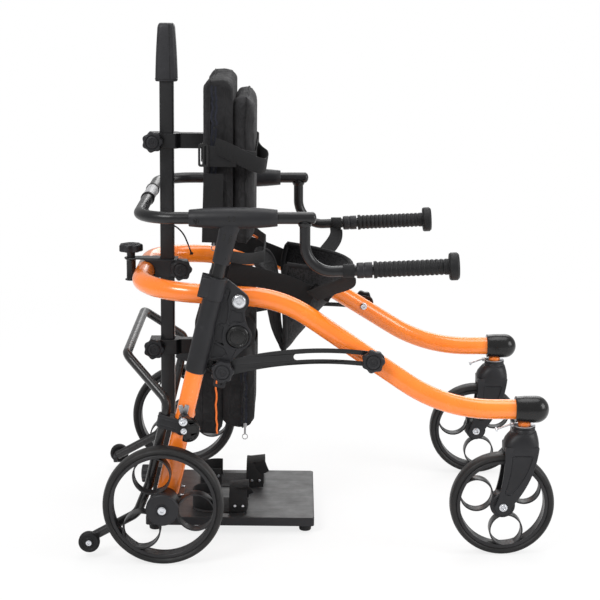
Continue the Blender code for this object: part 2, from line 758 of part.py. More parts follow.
def make_leg_sleeve(side, frame):
    """Moulded sleeve with the lobed pivot plate and the strut lug."""
    inboard = -outward(side)
    plate_low = PLATE_OUT
    plate_high = PLATE_OUT + PLATE_THICK
    profile = [(0, SLEEVE_BOTTOM), (SLEEVE_R, SLEEVE_BOTTOM),
               (SLEEVE_R, SLEEVE_STEP - 0.004), (SLEEVE_NECK_R, SLEEVE_STEP),
               (SLEEVE_NECK_R, SLEEVE_TOP), (0, SLEEVE_TOP)]
    sleeve = add_object(f"leg_sleeve_{side}", turned(profile, 16), "black_plastic", frame)
    outline = [(0.012, SLEEVE_BOTTOM + 0.024), (PLATE_TIP_AT[0] - 0.012, PLATE_TIP_AT[1] - 0.004)]
    outline += arc(PLATE_TIP_AT, PLATE_TIP_R, 250, 310, 2)
    outline += arc(BUTTON_AT, BUTTON_LOBE_R, -50, 55, 6)
    outline += arc(PIVOT_AT, PIVOT_LOBE_R, -25, 100, 6)
    outline += [(0.024, SLEEVE_TOP - 0.001), (0.012, SLEEVE_TOP - 0.001)]
    lobes = add_side_plate(f"leg_sleeve_{side}_lobes", [outline], "black_plastic", frame,
                           inboard, plate_low, plate_high)
    lug_outline = arc(STRUT_PIN_AT, LUG_R, -90, 90, 6)
    lug_outline += [(0.0, STRUT_PIN_AT[1] + LUG_R), (0.0, STRUT_PIN_AT[1] - LUG_R)]
    lug_low = LEG_HALF - STRUT_OUT + STRUT_THICK + GAP
    lug = add_side_plate(f"leg_sleeve_{side}_lug", [lug_outline], "black_plastic", frame,
                         inboard, lug_low, lug_low + LUG_THICK)
    join(sleeve, lobes)
    join(sleeve, lug)
    join_height_clamp(sleeve, side, frame)
    bore_step = LEG_TOP + GAP
    above = SLEEVE_TOP + COLLAR_HEIGHT + 0.01
    leg_bore = bore_r(LEG_R, 16)
    post_bore = bore_r(POST_R, 16)
    bores = turned([(0, SLEEVE_BOTTOM - 0.01), (leg_bore, SLEEVE_BOTTOM - 0.01),
                    (leg_bore, bore_step), (post_bore, bore_step),
                    (post_bore, above), (0, above)], 16)
    cut(sleeve, add_object(f"leg_sleeve_{side}_bores", bores, "black_plastic", frame))
    for label, centre, radius, depth in (
            ("pivot", PIVOT_AT, bore_r(PIVOT_BOLT_R, 14), 0.05),
            ("pin", STRUT_PIN_AT, bore_r(STUD_R, 14), 0.05),
            ("recess", BUTTON_AT, bore_r(BUTTON_R, 20), BUTTON_DEPTH)):
        y = inboard * plate_low
        low = -depth if label == "recess" else -depth / 2
        hole = rod(radius, low, depth, 20 if label == "recess" else 14)
        turn = FACING[side]
        cutter = add_object(f"leg_sleeve_{side}_{label}", hole, "black_plastic", frame,
                            (centre[0], y, centre[1]), turn)
        cut(sleeve, cutter)


def add_side_plate(name, loops, look, parent, direction, low, high):
    """A plate in the XZ plane between two distances along +Y or -Y."""
    span = sorted((-direction * low, -direction * high))
    return add_object(name, plate(loops, span[0], span[1]), look, parent, turn=ACROSS)


def make_pivot(side, frame):
    """Pivot bolt with its shoulder against the main tube, and the fold button."""
    turn = FACING[side]
    outer_face = outward(side) * -PLATE_OUT
    bush_low = LEG_HALF - TUBE_REAR_HALF - TUBE_R - GAP
    plate_inner = PLATE_OUT + PLATE_THICK + GAP
    head_height = 0.0035
    shank = bush_low - PLATE_OUT
    shoulder = plate_inner - PLATE_OUT
    bolt = turned([(0, -shank), (PIVOT_BUSH_R, -shank), (PIVOT_BUSH_R, -shoulder),
                   (PIVOT_BOLT_R, -shoulder), (PIVOT_BOLT_R, GAP),
                   (PIVOT_HEAD_R, GAP), (PIVOT_HEAD_R, head_height * 0.7),
                   (PIVOT_HEAD_R - 0.0015, head_height), (0, head_height)], 14)
    at = (PIVOT_AT[0], outer_face, PIVOT_AT[1])
    add_object(f"pivot_bolt_{side}", bolt, "zinc", frame, at, turn)
    low = -BUTTON_DEPTH + 0.0035
    button = turned([(0, low), (BUTTON_R, low), (BUTTON_R, 0.002),
                     (BUTTON_R - 0.003, 0.005), (0, 0.005)], 20)
    add_object(f"fold_button_{side}", button, "black_plastic", frame,
               (BUTTON_AT[0], outer_face, BUTTON_AT[1]), turn)


def join_height_clamp(sleeve, side, frame):
    """Split collar on the sleeve's top that clamps the handlebar post."""
    ear = COLLAR_EAR_HALF
    split = 0.001
    start = math.degrees(math.asin(ear / COLLAR_R))
    outline = arc((0, 0), COLLAR_R, -180 + start, 180 - start, 10)
    outline += [(-COLLAR_EAR_REACH, ear), (-COLLAR_EAR_REACH, split), (-0.008, split),
                (-0.008, -split), (-COLLAR_EAR_REACH, -split), (-COLLAR_EAR_REACH, -ear)]
    low = SLEEVE_TOP - 0.001
    join(sleeve, add_object(f"height_clamp_{side}",
                            plate([outline], low, low + COLLAR_HEIGHT), "black_plastic",
                            frame))


def strut_pin(side):
    """World place of the strut's pin on the leg, seen from the side."""
    x = STRUT_PIN_AT[0] * math.cos(LEG_TILT) + STRUT_PIN_AT[1] * math.sin(LEG_TILT)
    z = -STRUT_PIN_AT[0] * math.sin(LEG_TILT) + STRUT_PIN_AT[1] * math.cos(LEG_TILT)
    return Vector((x, outward(side) * LEG_HALF, z + REAR_WHEEL_R))


def make_strut(side, root):
    """Slotted arc from the leg to the main tube, with its two star knobs."""
    pin = strut_pin(side)
    front = Vector((STRUT_FRONT_X, pin.y, STRUT_FRONT_Z))
    chord = (front - pin).length
    lean = math.atan2(front.z - pin.z, front.x - pin.x)
    arc_r = chord ** 2 / (8 * STRUT_RISE) + STRUT_RISE / 2
    centre = (chord / 2, STRUT_RISE - arc_r)
    spread = math.degrees(math.asin(chord / 2 / arc_r))
    half = STRUT_WIDTH / 2
    slot_half = STRUT_SLOT_WIDTH / 2

    def band(start, stop, width_half, count):
        first = arc((0, 0), 1, start, stop, 1)
        end = (centre[0] + arc_r * first[1][0], centre[1] + arc_r * first[1][1])
        begin = (centre[0] + arc_r * first[0][0], centre[1] + arc_r * first[0][1])
        loop = arc(centre, arc_r + width_half, start, stop, count)
        loop += arc(end, width_half, stop, stop - 180, 4)[1:-1]
        loop += arc(centre, arc_r - width_half, stop, start, count)
        loop += arc(begin, width_half, start + 180, start, 4)[1:-1]
        return loop

    left = 90 + spread
    right = 90 - spread
    slot_from = left - math.degrees(STRUT_SLOT_START / arc_r)
    # The strut and its slot run on past the stud of the front knob.
    tip = right - math.degrees(STRUT_TIP_RUN / arc_r)
    loops = [band(left, tip, half, 12), band(slot_from, tip, slot_half, 8),
             circle((0, 0), bore_r(STUD_R), 12)]
    out = outward(side)
    low = STRUT_OUT - STRUT_THICK
    flat = sorted((-out * low, -out * STRUT_OUT))
    add_object(f"arc_strut_{side}", plate(loops, *flat), "black_coat", root,
               (pin.x, 0.0, pin.z), (math.pi / 2, -lean, 0.0))
    face = STRUT_OUT + GAP
    knob_y = out * (face + KNOB_NECK)
    stud = STRUT_THICK + LUG_THICK + GAP
    star_knob(f"leg_knob_{side}", root, (pin.x, knob_y, pin.z), FACING[side], stud)
    tube_face = tube_half_at(STRUT_FRONT_X) + TUBE_R
    stud = face - tube_face - 2 * GAP
    star_knob(f"strut_knob_{side}", root, (front.x, knob_y, front.z), FACING[side], stud)


def make_brake(side, root, frame):
    """Clamp block on the leg with the bracket and the cam above the rear tyre."""
    wall = BRAKE_CLAMP_WALL
    around_leg = LEG_R + GAP + wall
    around_bar = KICK_R + GAP + wall
    outline = arc((0, 0), around_leg, -100, 100, 8)
    outline += arc((-KICK_BACK, 0), around_bar, 100, 260, 6)
    loops = [outline, circle((0, 0), bore_r(LEG_R, 16), 16),
             circle((-KICK_BACK, 0), bore_r(KICK_R), 12)]
    low = BRAKE_HEIGHT - BRAKE_CLAMP_HEIGHT / 2
    clamp = add_object(f"brake_bracket_{side}", plate(loops, low, low + BRAKE_CLAMP_HEIGHT),
                       "black_plastic", frame)
    out = outward(side)
    inner = LEG_HALF + LEG_R + 2 * GAP
    face = LEG_HALF + around_leg + BRACKET_THICK
    bracket = arc(CAM_PIVOT, BRACKET_R, -20, 160, 6)
    bracket += arc(CAM_PIN, BRACKET_R, 180, 320, 5)
    join(clamp, add_side_plate(f"brake_bracket_{side}_plate", [bracket], "black_plastic",
                               root, out, inner, face))
    cam_face = face + GAP
    head_face = cam_face + CAM_THICK + GAP
    turn = FACING[side]
    pin = turned([(0, inner), (CAM_BOLT_R, inner), (CAM_BOLT_R, head_face),
                  (CAM_HEAD_R, head_face), (CAM_HEAD_R, head_face + BOLT_HEAD_THICK),
                  (0, head_face + BOLT_HEAD_THICK)], 12)
    join(clamp, add_object(f"brake_pin_{side}", pin, "zinc", root,
                           (CAM_PIVOT[0], 0.0, CAM_PIVOT[1]), turn))
    cx = CAM_CENTRE[0] - CAM_PIVOT[0]
    cz = CAM_CENTRE[1] - CAM_PIVOT[1]
    heel = (CAM_PIN[0] - CAM_PIVOT[0] + CAM_HEEL[0],
            CAM_PIN[1] - CAM_PIVOT[1] + CAM_HEEL[1])
    outline = arc((cx, cz), CAM_R, -118, 62, 12)
    outline += arc((0, 0), BRACKET_R, 90, 180, 4)
    outline += [heel]
    span = sorted((-out * cam_face, -out * (cam_face + CAM_THICK)))
    loops = [outline, circle((0, 0), bore_r(CAM_BOLT_R), 12)]
    add_object(f"brake_cam_{side}", plate(loops, *span), "black_plastic", root,
               (CAM_PIVOT[0], 0.0, CAM_PIVOT[1]), ACROSS)


def leg_point(across, along):
    """World X and Z of a point given in a leg's own frame."""
    x = across * math.cos(LEG_TILT) + along * math.sin(LEG_TILT)
    z = REAR_WHEEL_R + along * math.cos(LEG_TILT) - across * math.sin(LEG_TILT)
    return x, z


def make_kick_bar(root):
    """One bent bar: anti-tip tails, runs up through the leg clamps, and a cross run."""
    def half_bar(out):
        clamp_top = leg_point(-KICK_BACK, BRAKE_HEIGHT + BRAKE_CLAMP_HEIGHT * 1.4)
        clamp_foot = leg_point(-KICK_BACK, 0.02)
        return [Vector((TIP_WHEEL_AT[0] - KICK_TAIL_PAST, out * LEG_HALF, TIP_WHEEL_AT[1])),
                Vector((KICK_HEEL[0], out * LEG_HALF, KICK_HEEL[1])),
                Vector((clamp_foot[0], out * LEG_HALF, clamp_foot[1])),
                Vector((clamp_top[0], out * LEG_HALF, clamp_top[1])),
                Vector((KICK_CROSS_X, out * KICK_CROSS_HALF, KICK_CROSS_Z))]
    corners = half_bar(-1.0) + list(reversed(half_bar(1.0)))
    radii = KICK_BENDS + tuple(reversed(KICK_BENDS))
    bar = add_object("kick_bar",
                     tube(rounded_path(corners, radii, math.radians(24)), KICK_R, 8),
                     "black_coat", root)
    half = TIP_WHEEL_WIDTH / 2
    reach = TIP_WHEEL_HALF + half + GAP
    for side in SIDES:
        out = outward(side)
        bolt = turned([(0, LEG_HALF), (TIP_BOLT_R, LEG_HALF), (TIP_BOLT_R, reach),
                       (TIP_HEAD_R, reach), (TIP_HEAD_R, reach + BOLT_HEAD_THICK),
                       (0, reach + BOLT_HEAD_THICK)], 10)
        join(bar, add_object(f"tip_bolt_{side}", bolt, "zinc", root,
                             (TIP_WHEEL_AT[0], 0.0, TIP_WHEEL_AT[1]), FACING[side]))


def make_tip_wheel(side, root):
    out = outward(side)
    at = (TIP_WHEEL_AT[0], out * TIP_WHEEL_HALF, TIP_WHEEL_AT[1])
    half = TIP_WHEEL_WIDTH / 2
    bore = bore_r(TIP_BOLT_R, 16)
    profile = [(bore, -half), (TIP_WHEEL_R - 0.003, -half), (TIP_WHEEL_R, -half + 0.003),
               (TIP_WHEEL_R, half - 0.003), (TIP_WHEEL_R - 0.003, half), (bore, half)]
    add_object(f"tip_wheel_{side}", turned(profile, 16, ring=True), "grip_rubber", root,
               at, FACING[side])


def make_bar_sleeve(side, root, frame):
    """T-shaped moulding on its post, round the handlebar's end and the handle."""
    y = outward(side) * LEG_HALF
    half = SLEEVE_T_LENGTH / 2
    profile = [(0, -half), (SLEEVE_T_END_R, -half), (SLEEVE_T_END_R + 0.001, -half + 0.02),
               (SLEEVE_T_R, -half * 0.3), (SLEEVE_T_R, half * 0.3),
               (SLEEVE_T_END_R + 0.001, half - 0.02), (SLEEVE_T_END_R, half), (0, half)]
    barrel = add_object(f"bar_sleeve_{side}", turned(profile, 14), "black_plastic", root,
                        (SLEEVE_T_X, y, BAR_Z), FORWARD)
    top = (BAR_Z - REAR_WHEEL_R) / math.cos(LEG_TILT)
    socket = turned([(0, SOCKET_BOTTOM), (SOCKET_BOTTOM_R, SOCKET_BOTTOM),
                     (SOCKET_TOP_R, top), (0, top)], 14)
    join(barrel, add_object(f"bar_sleeve_{side}_socket", socket, "black_plastic", frame))
    post = rod(POST_R, POST_BOTTOM, SOCKET_BOTTOM + 0.02, 14)
    join(barrel, add_object(f"bar_sleeve_{side}_post", post, "black_coat", frame))
    bore = rod(bore_r(BAR_R, 14), -half - 0.01, half + 0.01, 14)
    cut(barrel, add_object(f"bar_sleeve_{side}_bore", bore, "black_plastic", root,
                           (SLEEVE_T_X, y, BAR_Z), FORWARD))


def make_handlebar(root):
    ends = [Vector((BAR_END_X, -LEG_HALF, BAR_Z)), Vector((BAR_REAR_X, -LEG_HALF, BAR_Z)),
            Vector((BAR_REAR_X, LEG_HALF, BAR_Z)), Vector((BAR_END_X, LEG_HALF, BAR_Z))]
    path = rounded_path(ends, [BAR_CORNER_R, BAR_CORNER_R], math.radians(15))
    bar = add_object("handlebar", tube(path, BAR_R, 10), "black_coat", root)
    rim = BAR_R + TIE_RING_WALL
    ring = rod(rim, -TIE_RING_HALF, TIE_RING_HALF, 12)
    for y in (CORD_ROUTE[0][1], -CORD_ROUTE[0][1] * 3):
        join(bar, add_object(f"tie_ring_{y:.2f}", ring.copy(), "grip_rubber", root,
                             (BAR_REAR_X, y, BAR_Z), ACROSS))
    ring.free()


def grip_line(side):
    """The drop tube's axis: X where it drops, and the start of the grip."""
    drop_x = HANDLE_END_X[side] - DROP_BACK
    start = Vector((drop_x + GRIP_OFFSET, outward(side) * LEG_HALF, GRIP_Z))
    return drop_x, start


def make_handle(side, root):
    """Telescoping tube with a J-shaped drop, and the grip on its end."""
    y = outward(side) * LEG_HALF
    end = HANDLE_END_X[side]
    length = end - HANDLE_START_X
    nose = 0.007
    profile = [(0, 0), (HANDLE_R, 0), (HANDLE_R, length - nose),
               (HANDLE_R * 0.72, length - 0.002), (0, length)]
    handle = add_object(f"handle_{side}", turned(profile, 14), "black_coat", root,
                        (HANDLE_START_X, y, BAR_Z), FORWARD)
    drop_x, start = grip_line(side)
    direction = Vector((math.cos(GRIP_RISE), 0.0, math.sin(GRIP_RISE)))
    bend = start - direction * (GRIP_OFFSET / math.cos(GRIP_RISE))
    tip = start + direction * (GRIP_LENGTH - GRIP_END_THICK)
    path = rounded_path([(drop_x, y, BAR_Z), (drop_x, y, bend.z), tip], [DROP_BEND_R],
                        math.radians(14))
    drop = add_object(f"handle_{side}_drop", tube(path, DROP_R, 10), "black_coat", root)
    join(handle, drop)
    collar = rod(GRIP_COLLAR_R, -GRIP_COLLAR_BACK, -0.003, 14)
    along = (0.0, math.pi / 2 - GRIP_RISE, 0.0)
    join(handle, add_object(f"grip_collar_{side}", collar, "black_plastic", root, start,
                            along))
    bore = bore_r(DROP_R, 16)
    inside = GRIP_LENGTH - GRIP_END_THICK + GAP
    grip_end = GRIP_LENGTH + 0.001
    profile = [(bore, 0.0), (GRIP_R - 0.001, 0.0), (GRIP_R, 0.002),
               (GRIP_R, GRIP_LENGTH - GRIP_END_THICK - 0.001),
               (GRIP_END_R, GRIP_LENGTH - GRIP_END_THICK),
               (GRIP_END_R, GRIP_LENGTH - 0.003), (GRIP_END_R - 0.003, grip_end),
               (0.0, grip_end), (0.0, inside), (bore, inside)]
    add_object(f"grip_{side}", turned(profile, 16, ring=True), "grip_rubber", root,
               start, along)


def make_mast(frame):
    """Square mast tube and the padded sleeve on its top."""
    half = MAST_SIDE / 2
    inner = half - MAST_WALL
    low = PLATE_BOTTOM + PLATE_HEIGHT + GAP
    loops = [rounded_rectangle(-half, half, -half, half, 0.002, 1),
             rectangle(-inner, inner, -inner, inner)]
    add_object("mast", plate(loops, low, MAST_TOP), "black_coat", frame)
    bottom = oval(HEAD_BOTTOM_SIZE[0] / 2, HEAD_BOTTOM_SIZE[1] / 2, HEAD_BOTTOM,
                  squareness=4.5)
    near_top = oval(HEAD_TOP_SIZE[0] / 2, HEAD_TOP_SIZE[1] / 2, HEAD_TOP - 0.003,
                    squareness=4.5)
    top = oval(HEAD_TOP_SIZE[0] / 2 - 0.003, HEAD_TOP_SIZE[1] / 2 - 0.003, HEAD_TOP,
               squareness=4.5)
    head = add_object("head_sleeve", loft([bottom, near_top, top]), "soft_leather", frame)
    hollow = plate([mast_hole()], HEAD_BOTTOM - 0.01, MAST_TOP + GAP)
    cut(head, add_object("head_sleeve_hollow", hollow, "soft_leather", frame))


def mast_hole():
    reach = MAST_SIDE / 2 + GAP
    return rectangle(-reach, reach, -reach, reach)


def make_mast_clamp(root, frame):
    """Block round the mast with a cup behind it for the main tube's rear run."""
    low = CLAMP_Z - CLAMP_HEIGHT / 2
    high = CLAMP_Z + CLAMP_HEIGHT / 2
    outline = rounded_rectangle(-CLAMP_REAR, 0.020, -CLAMP_HALF, CLAMP_HALF, 0.004)
    block = add_object("mast_clamp", plate([outline, mast_hole()], low, high),
                       "black_plastic", frame)
    ear = rounded_rectangle(0.016, CLAMP_FRONT, -CLAMP_EAR_HALF, CLAMP_EAR_HALF, 0.005)
    join(block, add_object("mast_clamp_ear", plate([ear], low + 0.003, high - 0.003),
                           "black_plastic", frame))
    cup = rod(bore_r(TUBE_R, 16), -0.05, 0.05, 16)
    cut(block, add_object("mast_clamp_cup", cup, "black_plastic", root,
                          (TUBE_REAR_X, 0.0, TUBE_REAR_Z), ACROSS))
    join_top_plate(block, root, high)
    bore = rod(bore_r(STUD_R), -0.03, 0.03)
    cut(block, add_object("mast_clamp_bore", bore, "black_plastic", frame,
                          (CLAMP_KNOB_X, 0.0, CLAMP_Z), ACROSS))
    star_knob("clamp_knob", frame,
              (CLAMP_KNOB_X, -CLAMP_EAR_HALF - GAP - CLAMP_KNOB_NECK, CLAMP_Z),
              FACING["right"], 0.016, neck=CLAMP_KNOB_NECK)


def join_top_plate(block, root, clamp_top):
    """Plate over the rear run, with the spindle and its spacer behind the tube."""
    low = clamp_top - 0.001
    high = low + TOP_PLATE_THICK
    mast_rear = MAST_X - MAST_SIDE / 2 + clamp_top * math.tan(MAST_LEAN) - RUN_GAP
    outline = arc((SPINDLE_X, 0), TOP_PLATE_HALF * 0.8, 100, 260, 8)
    outline += [(mast_rear, -TOP_PLATE_HALF), (mast_rear, TOP_PLATE_HALF)]
    join(block, add_object("clamp_top_plate", plate([outline], low, high), "black_coat",
                           root))
    foot = SPINDLE_FOOT_Z
    profile = [(0, foot), (SPACER_FOOT_R, foot), (SPACER_FOOT_R, foot + 0.002),
               (SPACER_R, foot + 0.002), (SPACER_R, high - 0.001), (0, high - 0.001)]
    join(block, add_object("clamp_spacer", turned(profile, 12), "black_coat", root,
                           (SPINDLE_X, 0.0, 0.0)))
    bore = rod(bore_r(STUD_R), foot - 0.01, high + 0.01)
    cut(block, add_object("clamp_spindle_bore", bore, "black_coat", root,
                          (SPINDLE_X, 0.0, 0.0)))
    star_knob("spindle_knob", root, (SPINDLE_X, 0.0, high + GAP + SPINDLE_KNOB_NECK),
              (0, 0, 0), high + GAP - foot, radius=SPINDLE_KNOB_R, neck=SPINDLE_KNOB_NECK)


def make_arm(name, frame, height, reach):
    """Arm that clamps round the mast and carries a cushion."""
    axis = add_empty(f"{name}_slide", frame, (0.0, 0.0, height))
    outline = [(-ARM_COLLAR_REAR, -ARM_COLLAR_HALF), (ARM_COLLAR_FRONT, -ARM_COLLAR_HALF),
               (ARM_COLLAR_FRONT + 0.008, -ARM_HALF), (reach, -ARM_HALF),
               (reach, ARM_HALF), (ARM_COLLAR_FRONT + 0.008, ARM_HALF),
               (ARM_COLLAR_FRONT, ARM_COLLAR_HALF), (-ARM_COLLAR_REAR, ARM_COLLAR_HALF)]
    half = ARM_HEIGHT / 2
    arm = add_object(name, plate([outline, mast_hole()], -half, half), "black_coat", axis)
    bore = rod(bore_r(STUD_R), -0.03, 0.03)
    cut(arm, add_object(f"{name}_bore", bore, "black_coat", axis, (ARM_KNOB_X, 0, 0),
                        ACROSS))
    star_knob(f"{name}_knob", axis,
              (ARM_KNOB_X, -ARM_COLLAR_HALF - GAP - KNOB_NECK, 0.0),
              FACING["right"], 2 * ARM_COLLAR_HALF, radius=KNOB_R * 0.95)
    return axis


def make_cushions(name, axis, arm_z, reach, back, back_z, front, front_z):
    """Back and front cushion closed against each other."""
    back_x = reach + CUSHION_GAP + back[0] / 2
    add_object(f"{name}_back_cushion", soft_block(back, CUSHION_EDGE), "nylon", axis,
               (back_x, 0.0, back_z - arm_z))
    front_x = reach + 2 * CUSHION_GAP + back[0] + front[0] / 2
    add_object(f"{name}_front_cushion", soft_block(front, CUSHION_EDGE), "nylon", axis,
               (front_x, 0.0, front_z - arm_z))


def make_chest_strap(axis):
    """Webbing band round both trunk cushions."""
    slack = CHEST_STRAP_SLACK
    x0 = UPPER_REACH + CUSHION_GAP - slack
    x1 = UPPER_REACH + 2 * CUSHION_GAP + UPPER_BACK[0] + UPPER_FRONT[0] + slack
    y1 = UPPER_BACK[1] / 2 + slack
    t = CHEST_STRAP_THICK
    outer = rounded_rectangle(x0 - t, x1 + t, -y1 - t, y1 + t, 0.008)
    inner = rounded_rectangle(x0, x1, -y1, y1, 0.006)
    half = CHEST_STRAP_HEIGHT / 2
    middle = CHEST_STRAP_Z - UPPER_ARM_Z
    add_object("chest_strap", plate([outer, inner], middle - half, middle + half),
               "webbing", axis)


def make_footplate(frame):
    """Footplate with its feet, the socket round the mast and the foot straps."""
    top = PLATE_BOTTOM + PLATE_HEIGHT
    outline = rounded_rectangle(PLATE_REAR, PLATE_FRONT, -PLATE_HALF, PLATE_HALF,
                                PLATE_CORNER_R)
    board = add_object("footplate", plate([outline], PLATE_BOTTOM, top),
                       "plate_laminate", frame)
    for side in SIDES:
        out = outward(side)
        for end, x in (("rear", PLATE_REAR + FOOT_INSET), ("front", PLATE_FRONT - FOOT_INSET)):
            foot = turned([(0, -FOOT_HEIGHT), (FOOT_R - 0.002, -FOOT_HEIGHT),
                           (FOOT_R, 0.002), (0, 0.002)], 12)
            y = out * (PLATE_HALF - FOOT_INSET)
            join(board, add_object(f"rubber_foot_{end}_{side}", foot, "grip_rubber",
                                   frame, (x, y, PLATE_BOTTOM)))
    low = top - 0.001
    rear = -ARM_COLLAR_REAR + 0.004
    block = rounded_rectangle(rear, ARM_COLLAR_FRONT, -SOCKET_HALF, SOCKET_HALF, 0.003, 1)
    join(board, add_object("plate_socket", plate([block], low, low + SOCKET_HEIGHT),
                           "black_coat", frame))
    well = plate([mast_hole()], top, low + SOCKET_HEIGHT + 0.01)
    cut(board, add_object("plate_socket_well", well, "black_coat", frame))
    bore = rod(bore_r(STUD_R), 0.0, 0.05)
    cut(board, add_object("plate_socket_bore", bore, "black_coat", frame,
                          (-MAST_SIDE / 2, 0.0, SOCKET_KNOB_Z), (0.0, -math.pi / 2, 0.0)))
    stud = -rear - MAST_SIDE / 2 - 2 * GAP
    star_knob("plate_knob", frame, (rear - GAP - KNOB_NECK, 0.0, SOCKET_KNOB_Z),
              (0.0, -math.pi / 2, 0.0), stud, radius=SOCKET_KNOB_R)
    make_foot_straps(frame, top + GAP)


def make_foot_straps(frame, floor):
    """A thin sole with a toe arch and a heel loop for each foot."""
    for side in SIDES:
        out = outward(side)
        y = out * FOOT_LINE
        ratio = TOE_STRAP_HEIGHT / TOE_STRAP_HALF
        inner_r = TOE_STRAP_HALF - STRAP_THICK
        outer = [(u, v * ratio) for u, v in arc((0, 0), TOE_STRAP_HALF, 0, 180, 8)]
        inner = [(u, v * ratio) for u, v in arc((0, 0), inner_r, 180, 0, 8)]
        half = TOE_STRAP_WIDTH / 2
        heel_x = HEEL_STRAP_X[side]
        toe_x = TOE_STRAP_X[side]
        radius = HEEL_STRAP_RADIUS
        sole = rounded_rectangle(heel_x - radius, toe_x + half, y - TOE_STRAP_HALF,
                                 y + TOE_STRAP_HALF, 0.030, 3)
        strap = add_object(f"foot_strap_{side}", plate([sole], floor, floor + SOLE_THICK),
                           "webbing", frame)
        join(strap, add_object(f"toe_strap_{side}", plate([outer + inner], -half, half),
                               "webbing", frame, (toe_x, y, floor), SPANWISE))
        loop = arc((0, 0), radius, 90, 270, 8)
        loop += arc((0, 0), radius - STRAP_THICK, 270, 90, 8)
        join(strap, add_object(f"heel_strap_{side}", plate([loop], 0.0, HEEL_STRAP_HEIGHT),
                               "webbing", frame, (heel_x, y, floor)))


def make_saddle(root):
    """Sling seat: two raised flaps joined through a narrow crotch."""
    count = 12
    rings = []
    for i in range(count + 1):
        t = i / count
        angle = math.pi * t
        x = SADDLE_FRONT_X + (SADDLE_REAR_X - SADDLE_FRONT_X) * t
        drop = math.sin(angle)
        z = SADDLE_TOP_Z + (SADDLE_BOTTOM_Z - SADDLE_TOP_Z) * drop ** 0.8
        half = SADDLE_NECK_HALF + (SADDLE_HALF - SADDLE_NECK_HALF) * (1 - drop) ** 0.7
        lean = math.pi * 0.5 * math.cos(angle)
        shift_x = -math.sin(lean) * SADDLE_THICK / 2
        shift_z = math.cos(lean) * SADDLE_THICK / 2
        rings.append([Vector((x + sign_t * shift_x, sign_y * half, z + sign_t * shift_z))
                      for sign_y, sign_t in ((-1, -1), (1, -1), (1, 1), (-1, 1))])
    add_object("saddle", loft(rings), "mesh_cloth", root)


def make_rear_strap(root):
    """Webbing from one bar sleeve, behind the saddle's rear flap, to the other."""
    sleeve_x, sleeve_z = leg_point(0.0, SOCKET_BOTTOM + 0.012)
    sleeve_y = LEG_HALF - SOCKET_BOTTOM_R - GAP - 0.0005
    flap_x = SADDLE_REAR_X - SADDLE_THICK / 2 - GAP - WEB_THICK / 2
    flap_y = SADDLE_HALF - WEB_WIDTH / 2
    flap_z = SADDLE_TOP_Z - WEB_WIDTH / 2
    half_run = []
    for i in range(6):
        t = i / 5
        bow = math.sin(math.pi * t)
        half_run.append((sleeve_x + (flap_x - sleeve_x) * t ** 0.8,
                         sleeve_y + (flap_y - sleeve_y) * t,
                         sleeve_z + (flap_z - sleeve_z) * t - REAR_STRAP_SAG * bow))
    centres = [Vector((x, -y, z)) for x, y, z in half_run]
    centres += [Vector(point) for point in reversed(half_run)]
    rings = []
    for i, centre in enumerate(centres):
        before = centres[max(i - 1, 0)]
        after = centres[min(i + 1, len(centres) - 1)]
        heading = after - before
        normal = Vector((heading.y, -heading.x, 0.0)).normalized() * (WEB_THICK / 2)
        rise = Vector((0.0, 0.0, WEB_WIDTH / 2))
        rings.append([centre + normal - rise, centre + normal + rise,
                      centre - normal + rise, centre - normal - rise])
    add_object("rear_strap", loft(rings), "webbing", root)


def make_front_strap(side, root):
    """Webbing from a loop round the handle down to the saddle's front flap."""
    out = outward(side)
    y = out * LEG_HALF
    drop_x = grip_line(side)[0]
    loop_x = drop_x + GRIP_OFFSET - GRIP_COLLAR_BACK - WEB_LOOP_BACK * 0.5
    inner = bore_r(DROP_R)
    loop = plate([circle((0, 0), inner + WEB_THICK, 12), circle((0, 0), inner, 12)],
                 -WEB_WIDTH / 2, WEB_WIDTH / 2)
    rise = (loop_x - drop_x) * math.tan(GRIP_RISE)
    loop_z = GRIP_Z - GRIP_OFFSET * math.tan(GRIP_RISE) + rise
    strap = add_object(f"front_strap_{side}", loop, "webbing", root, (loop_x, y, loop_z),
                       (0.0, math.pi / 2 - GRIP_RISE, 0.0))
    start = Vector((loop_x, y - out * 0.004, loop_z - inner - WEB_THICK / 2 - 0.0004))
    stop = Vector((SADDLE_FRONT_X + SADDLE_THICK / 2 + WEB_WIDTH / 2 + 2 * GAP,
                   out * (SADDLE_HALF - WEB_WIDTH / 2), SADDLE_TOP_Z - 0.016))
    join(strap, add_object(f"front_strap_{side}_tail", webbing([start, stop]),
                           "webbing", root))


def webbing(ends):
    """A flat band that sags between two points, broad in X."""
    count = 8
    rings = []
    for i in range(count + 1):
        t = i / count
        centre = ends[0].lerp(ends[1], t)
        centre.z -= 4 * FRONT_STRAP_SAG * t * (1 - t)
        half = WEB_WIDTH / 2
        rings.append([centre + Vector((sx * half, 0.0, sz * WEB_THICK / 2))
                      for sx, sz in ((-1, -1), (1, -1), (1, 1), (-1, 1))])
    return loft(rings)


def smooth_route(points, per_span):
    """Points on a smooth curve through a route's own points."""
    padded = [points[0]] + list(points) + [points[-1]]
    result = []
    for a, b, c, d in zip(padded, padded[1:], padded[2:], padded[3:]):
        a, b, c, d = Vector(a), Vector(b), Vector(c), Vector(d)
        for i in range(per_span):
            t = i / per_span
            result.append(0.5 * (2 * b + (c - a) * t + (2 * a - 5 * b + 4 * c - d) * t ** 2
                                 + (3 * b - 3 * c + d - a) * t ** 3))
    result.append(Vector(points[-1]))
    return result


def make_tie_cord(root):
    """Thin cord tied under the handlebar's cross run."""
    add_object("tie_cord", tube(smooth_route(CORD_ROUTE, 3), CORD_R, 8), "webbing", root)


